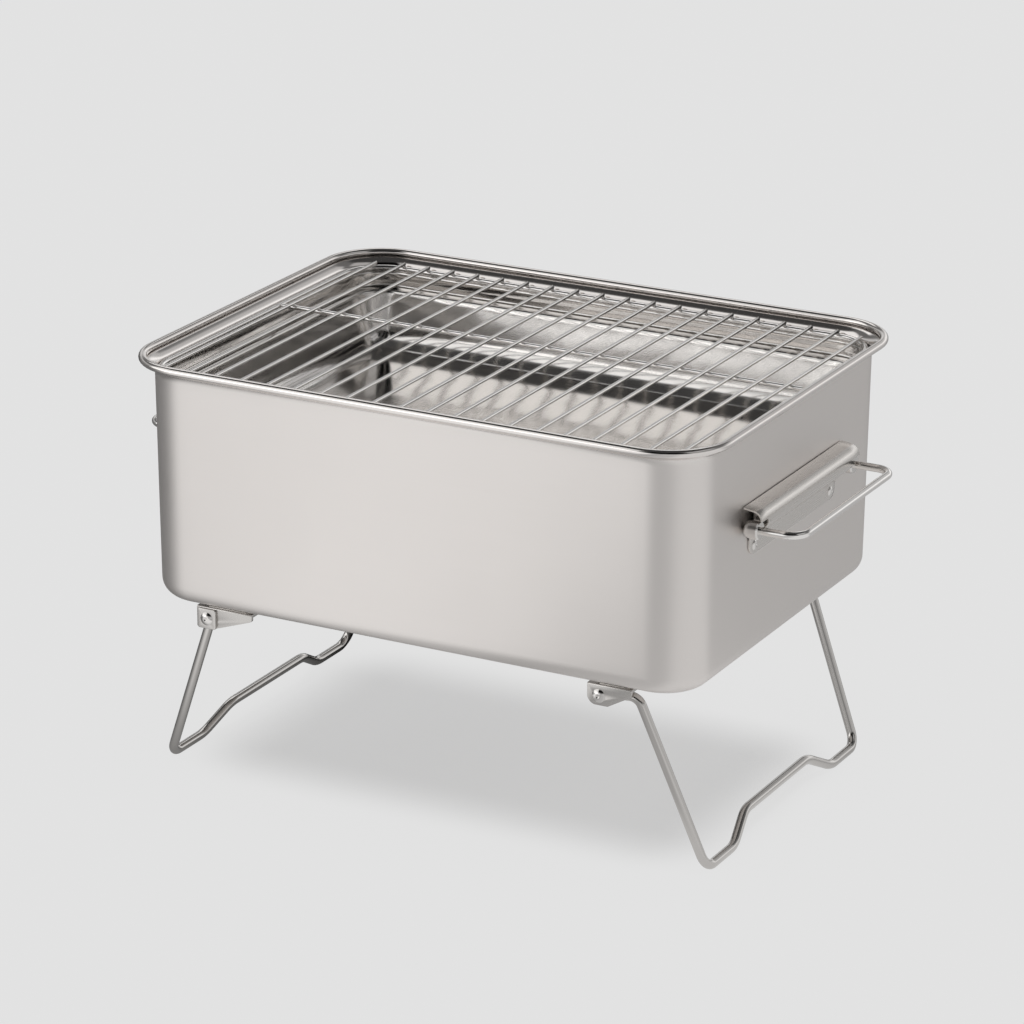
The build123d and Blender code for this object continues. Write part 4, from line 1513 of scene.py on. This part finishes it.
@dataclass
class Studio:
    """Pale floor, soft surroundings and the camera at the photograph's view."""

    azimuth: float = 27.76
    elevation: float = 19.40
    roll: float = 0.301
    focal_share: float = 4373.0 / 1024.0
    sensor: float = 36.0
    camera_place: Vector = field(default_factory=lambda: Vector((1.2057, -2.2954, 1.0770)))
    floor_size: float = 60.0
    floor_tone: float = 0.767
    floor_albedo: float = 0.80
    own_light_under: float = 0.62
    own_light_beyond: float = 0.97
    # Painted shadow outline: a rounded rectangle under the grill, outside which the floor's own glow covers
    # the real shadow.
    shadow_half_x: float = 130 * MM
    shadow_half_y: float = 62 * MM
    shadow_fade: float = 72 * MM
    light_height: float = 240 * MM
    overhead_light: float = 0.05
    # Zones below the horizon fall on the floor, where they are painted light and painted shade that only
    # mirrored rays see.
    zones: tuple[LightZone, ...] = (
        LightZone(0.0, 180.0, -95.0, 14.0, 0.47, level_soft=10.0),
        LightZone(0.0, 180.0, 0.0, 50.0, 0.10, level_soft=8.0),
        LightZone(-24.0, 5.0, -40.0, 11.0, 0.43, side_soft=25.0, level_soft=15.0),
        LightZone(8.0, 2.0, -95.0, 9.0, -0.10, side_soft=13.0),
        LightZone(78.0, 26.0, -95.0, 0.0, 0.20, side_soft=16.0),
        LightZone(-155.0, 15.0, -95.0, 0.0, -0.20, side_soft=40.0),
        LightZone(-100.0, 26.0, -95.0, 8.0, -0.36, side_soft=28.0),
        LightZone(150.0, 22.0, -95.0, -4.0, -0.05, side_soft=25.0),
        LightZone(-50.0, 18.0, 0.0, 45.0, 0.85),
        LightZone(-145.0, 22.0, 36.0, 54.0, 1.0),
        LightZone(180.0, 42.0, 0.0, 14.0, 0.12, side_soft=18.0),
        LightZone(165.0, 20.0, 12.0, 30.0, 0.38, side_soft=16.0),
        LightZone(22.0, 32.0, 12.0, 50.0, -0.30),
        LightZone(85.0, 25.0, 34.0, 52.0, 0.30),
    )
    sun_angle: float = 30.0
    sun_strength: float = 1.4
    sun_tilt: tuple[float, float] = (4.0, 3.0)
    view_end: float = 200.0

    def build(self) -> None:
        """Set up the floor, the light and the camera."""
        self.camera()
        self.floor()
        self.surroundings()
        self.overhead()
        bpy.context.scene.view_settings.view_transform = "Standard"

    def camera(self) -> None:
        """Place the camera as the photograph's perspective asks."""
        data = bpy.data.cameras.new("camera")
        data.sensor_width = self.sensor
        data.lens = self.focal_share * self.sensor
        data.clip_end = self.view_end
        view = bpy.data.objects.new("camera", data)
        turn, rise = math.radians(self.azimuth), math.radians(self.elevation)
        ahead = Vector(
            (-math.sin(turn) * math.cos(rise), math.cos(turn) * math.cos(rise), -math.sin(rise))
        )
        right = Vector((math.cos(turn), math.sin(turn), 0.0))
        above = right.cross(ahead)
        lean = math.radians(self.roll)
        across = right * math.cos(lean) + above * math.sin(lean)
        upward = above * math.cos(lean) - right * math.sin(lean)
        rotation = Matrix((across, upward, -ahead)).transposed().to_4x4()
        view.matrix_world = Matrix.Translation(self.camera_place) @ rotation
        bpy.context.scene.collection.objects.link(view)
        bpy.context.scene.camera = view

    def radiance(self, maker: TreeMaker, way: Any) -> bpy.types.NodeSocket:
        """Add the nodes that give the brightness of the surroundings in a direction.

        Args:
            maker: Tree that the nodes go into.
            way: Direction away from the grill, as a unit vector.

        Returns:
            The brightness.
        """
        level = maker.add("ShaderNodeVectorMath", {0: way, 1: (1.0, 1.0, 0.0)}, operation="MULTIPLY")
        flat = maker.add("ShaderNodeVectorMath", {0: level.outputs[0]}, operation="NORMALIZE").outputs[0]
        height = maker.add("ShaderNodeSeparateXYZ", {0: way}).outputs["Z"]
        rise = maker.math("DEGREES", maker.math("ARCSINE", height))
        total: Any = self.overhead_light
        for zone in self.zones:
            total = maker.math("MULTIPLY_ADD", zone.weight(maker, flat, rise), zone.change, total)
        return maker.math("MAXIMUM", total, 0.0)

    def own_share(self, maker: TreeMaker, place: Any) -> bpy.types.NodeSocket:
        """Add the nodes that give the share of the floor's tone that is its own.

        Args:
            maker: Tree that the nodes go into.
            place: Position on the floor.

        Returns:
            The share, which is lower under the grill, where the floor keeps its shadow; the outline of that
            shadow is a painted shadow, a rounded rectangle.
        """
        size = maker.add("ShaderNodeVectorMath", {0: place}, operation="ABSOLUTE").outputs[0]
        inside = (self.shadow_half_x, self.shadow_half_y, 0.0)
        over = maker.add("ShaderNodeVectorMath", {0: size, 1: inside}, operation="SUBTRACT").outputs[0]
        past = maker.add("ShaderNodeVectorMath", {0: over, 1: (0.0, 0.0, 0.0)}, operation="MAXIMUM")
        away = maker.add("ShaderNodeVectorMath", {0: past.outputs[0]}, operation="LENGTH").outputs["Value"]
        fade = {
            "Value": away, "From Max": self.shadow_fade,
            "To Min": self.own_light_under, "To Max": self.own_light_beyond,
        }
        return maker.add("ShaderNodeMapRange", fade, interpolation_type="SMOOTHSTEP").outputs[0]

    def floor(self) -> None:
        """Lay the floor, part of whose tone is its own, so that its shadow stays soft, with painted light and
        painted shade on it that only mirrored rays see.
        """
        half = self.floor_size / 2
        corners = [(-half, -half, 0), (half, -half, 0), (half, half, 0), (-half, half, 0)]
        mesh = bpy.data.meshes.new("floor")
        mesh.from_pydata(corners, [], [(0, 1, 2, 3)])
        floor = new_object("floor", mesh)
        made = bpy.data.materials.new("pale_floor")
        made.use_nodes = True
        made.cycles.emission_sampling = "NONE"
        made.node_tree.nodes.clear()
        maker = TreeMaker(made.node_tree)
        place = maker.add("ShaderNodeTexCoord").outputs["Object"]
        centre = (0.0, 0.0, self.light_height)
        away = maker.add("ShaderNodeVectorMath", {0: place, 1: centre}, operation="SUBTRACT").outputs[0]
        way = maker.add("ShaderNodeVectorMath", {0: away}, operation="NORMALIZE").outputs[0]
        path = maker.add("ShaderNodeLightPath").outputs
        mirrored = maker.math("MAXIMUM", path["Is Glossy Ray"], path["Is Transmission Ray"])
        shown = maker.math("MULTIPLY", path["Is Camera Ray"], self.floor_tone)
        # Painted light and painted shade: mirrored rays see the floor glow with the zones' brightness, taken
        # in the direction from a point over the grill.
        strength = maker.math("MULTIPLY_ADD", mirrored, self.radiance(maker, way), shown)
        albedo = (self.floor_albedo,) * 3 + (1.0,)
        lit = maker.add("ShaderNodeBsdfDiffuse", {"Color": albedo})
        own = maker.add("ShaderNodeEmission", {"Strength": strength})
        seen = maker.math("MAXIMUM", path["Is Camera Ray"], mirrored)
        share = maker.math("MULTIPLY", seen, self.own_share(maker, place))
        both = maker.add("ShaderNodeMixShader", {0: share, 1: lit.outputs[0], 2: own.outputs[0]})
        maker.add("ShaderNodeOutputMaterial", {"Surface": both.outputs[0]})
        mesh.materials.append(made)

    def surroundings(self) -> None:
        """Light the scene from a grey studio with soft bright and dim zones."""
        world = bpy.data.worlds.new("studio")
        bpy.context.scene.world = world
        world.use_nodes = True
        world.node_tree.nodes.clear()
        maker = TreeMaker(world.node_tree)
        light = self.radiance(maker, maker.add("ShaderNodeTexCoord").outputs["Generated"])
        seen = maker.add("ShaderNodeLightPath").outputs["Is Camera Ray"]
        shown = maker.math("MULTIPLY_ADD", seen, maker.math("SUBTRACT", self.floor_tone, light), light)
        sky = maker.add("ShaderNodeBackground", {"Strength": shown})
        sky.inputs["Color"].default_value = (1.0, 1.0, 1.0, 1.0)
        maker.add("ShaderNodeOutputWorld", {"Surface": sky.outputs[0]})

    def overhead(self) -> None:
        """Hang a wide soft light over the floor, which the metal doesn't mirror."""
        lamp = bpy.data.lights.new("overhead", "SUN")
        lamp.energy = self.sun_strength
        lamp.angle = math.radians(self.sun_angle)
        sun = bpy.data.objects.new("overhead", lamp)
        sun.rotation_euler = (*(math.radians(turn) for turn in self.sun_tilt), 0.0)
        sun.visible_glossy = False
        bpy.context.scene.collection.objects.link(sun)


def main() -> None:
    """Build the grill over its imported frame."""
    logging.basicConfig(level=logging.INFO, format="%(name)s: %(message)s")
    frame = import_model()
    hinges = {joint["child"]: Vector(joint["pos_m"]) for joint in frame["joints"] if joint["type"] == "hinge"}
    Studio().build()
    groups = FinishGroups()
    finishes = Finishes.make(groups)
    tools = GeometryTools()
    Tub(finishes).build()
    CharcoalPan(finishes).build()
    CookingGrate(finishes, tools).build()
    left, right = hinges["leg_left"], hinges["leg_right"]
    WireLeg(finishes, tools, Side.LEFT, left).build()
    WireLeg(finishes, tools, Side.RIGHT, right, knee_out=24 * MM).build()
    LegFittings(finishes, tools, left, right).build()
    for side in Side:
        DropHandle(finishes, tools, side, hinges[f"handle_{side.word}"]).build()


if __name__ == "__main__":
    main()
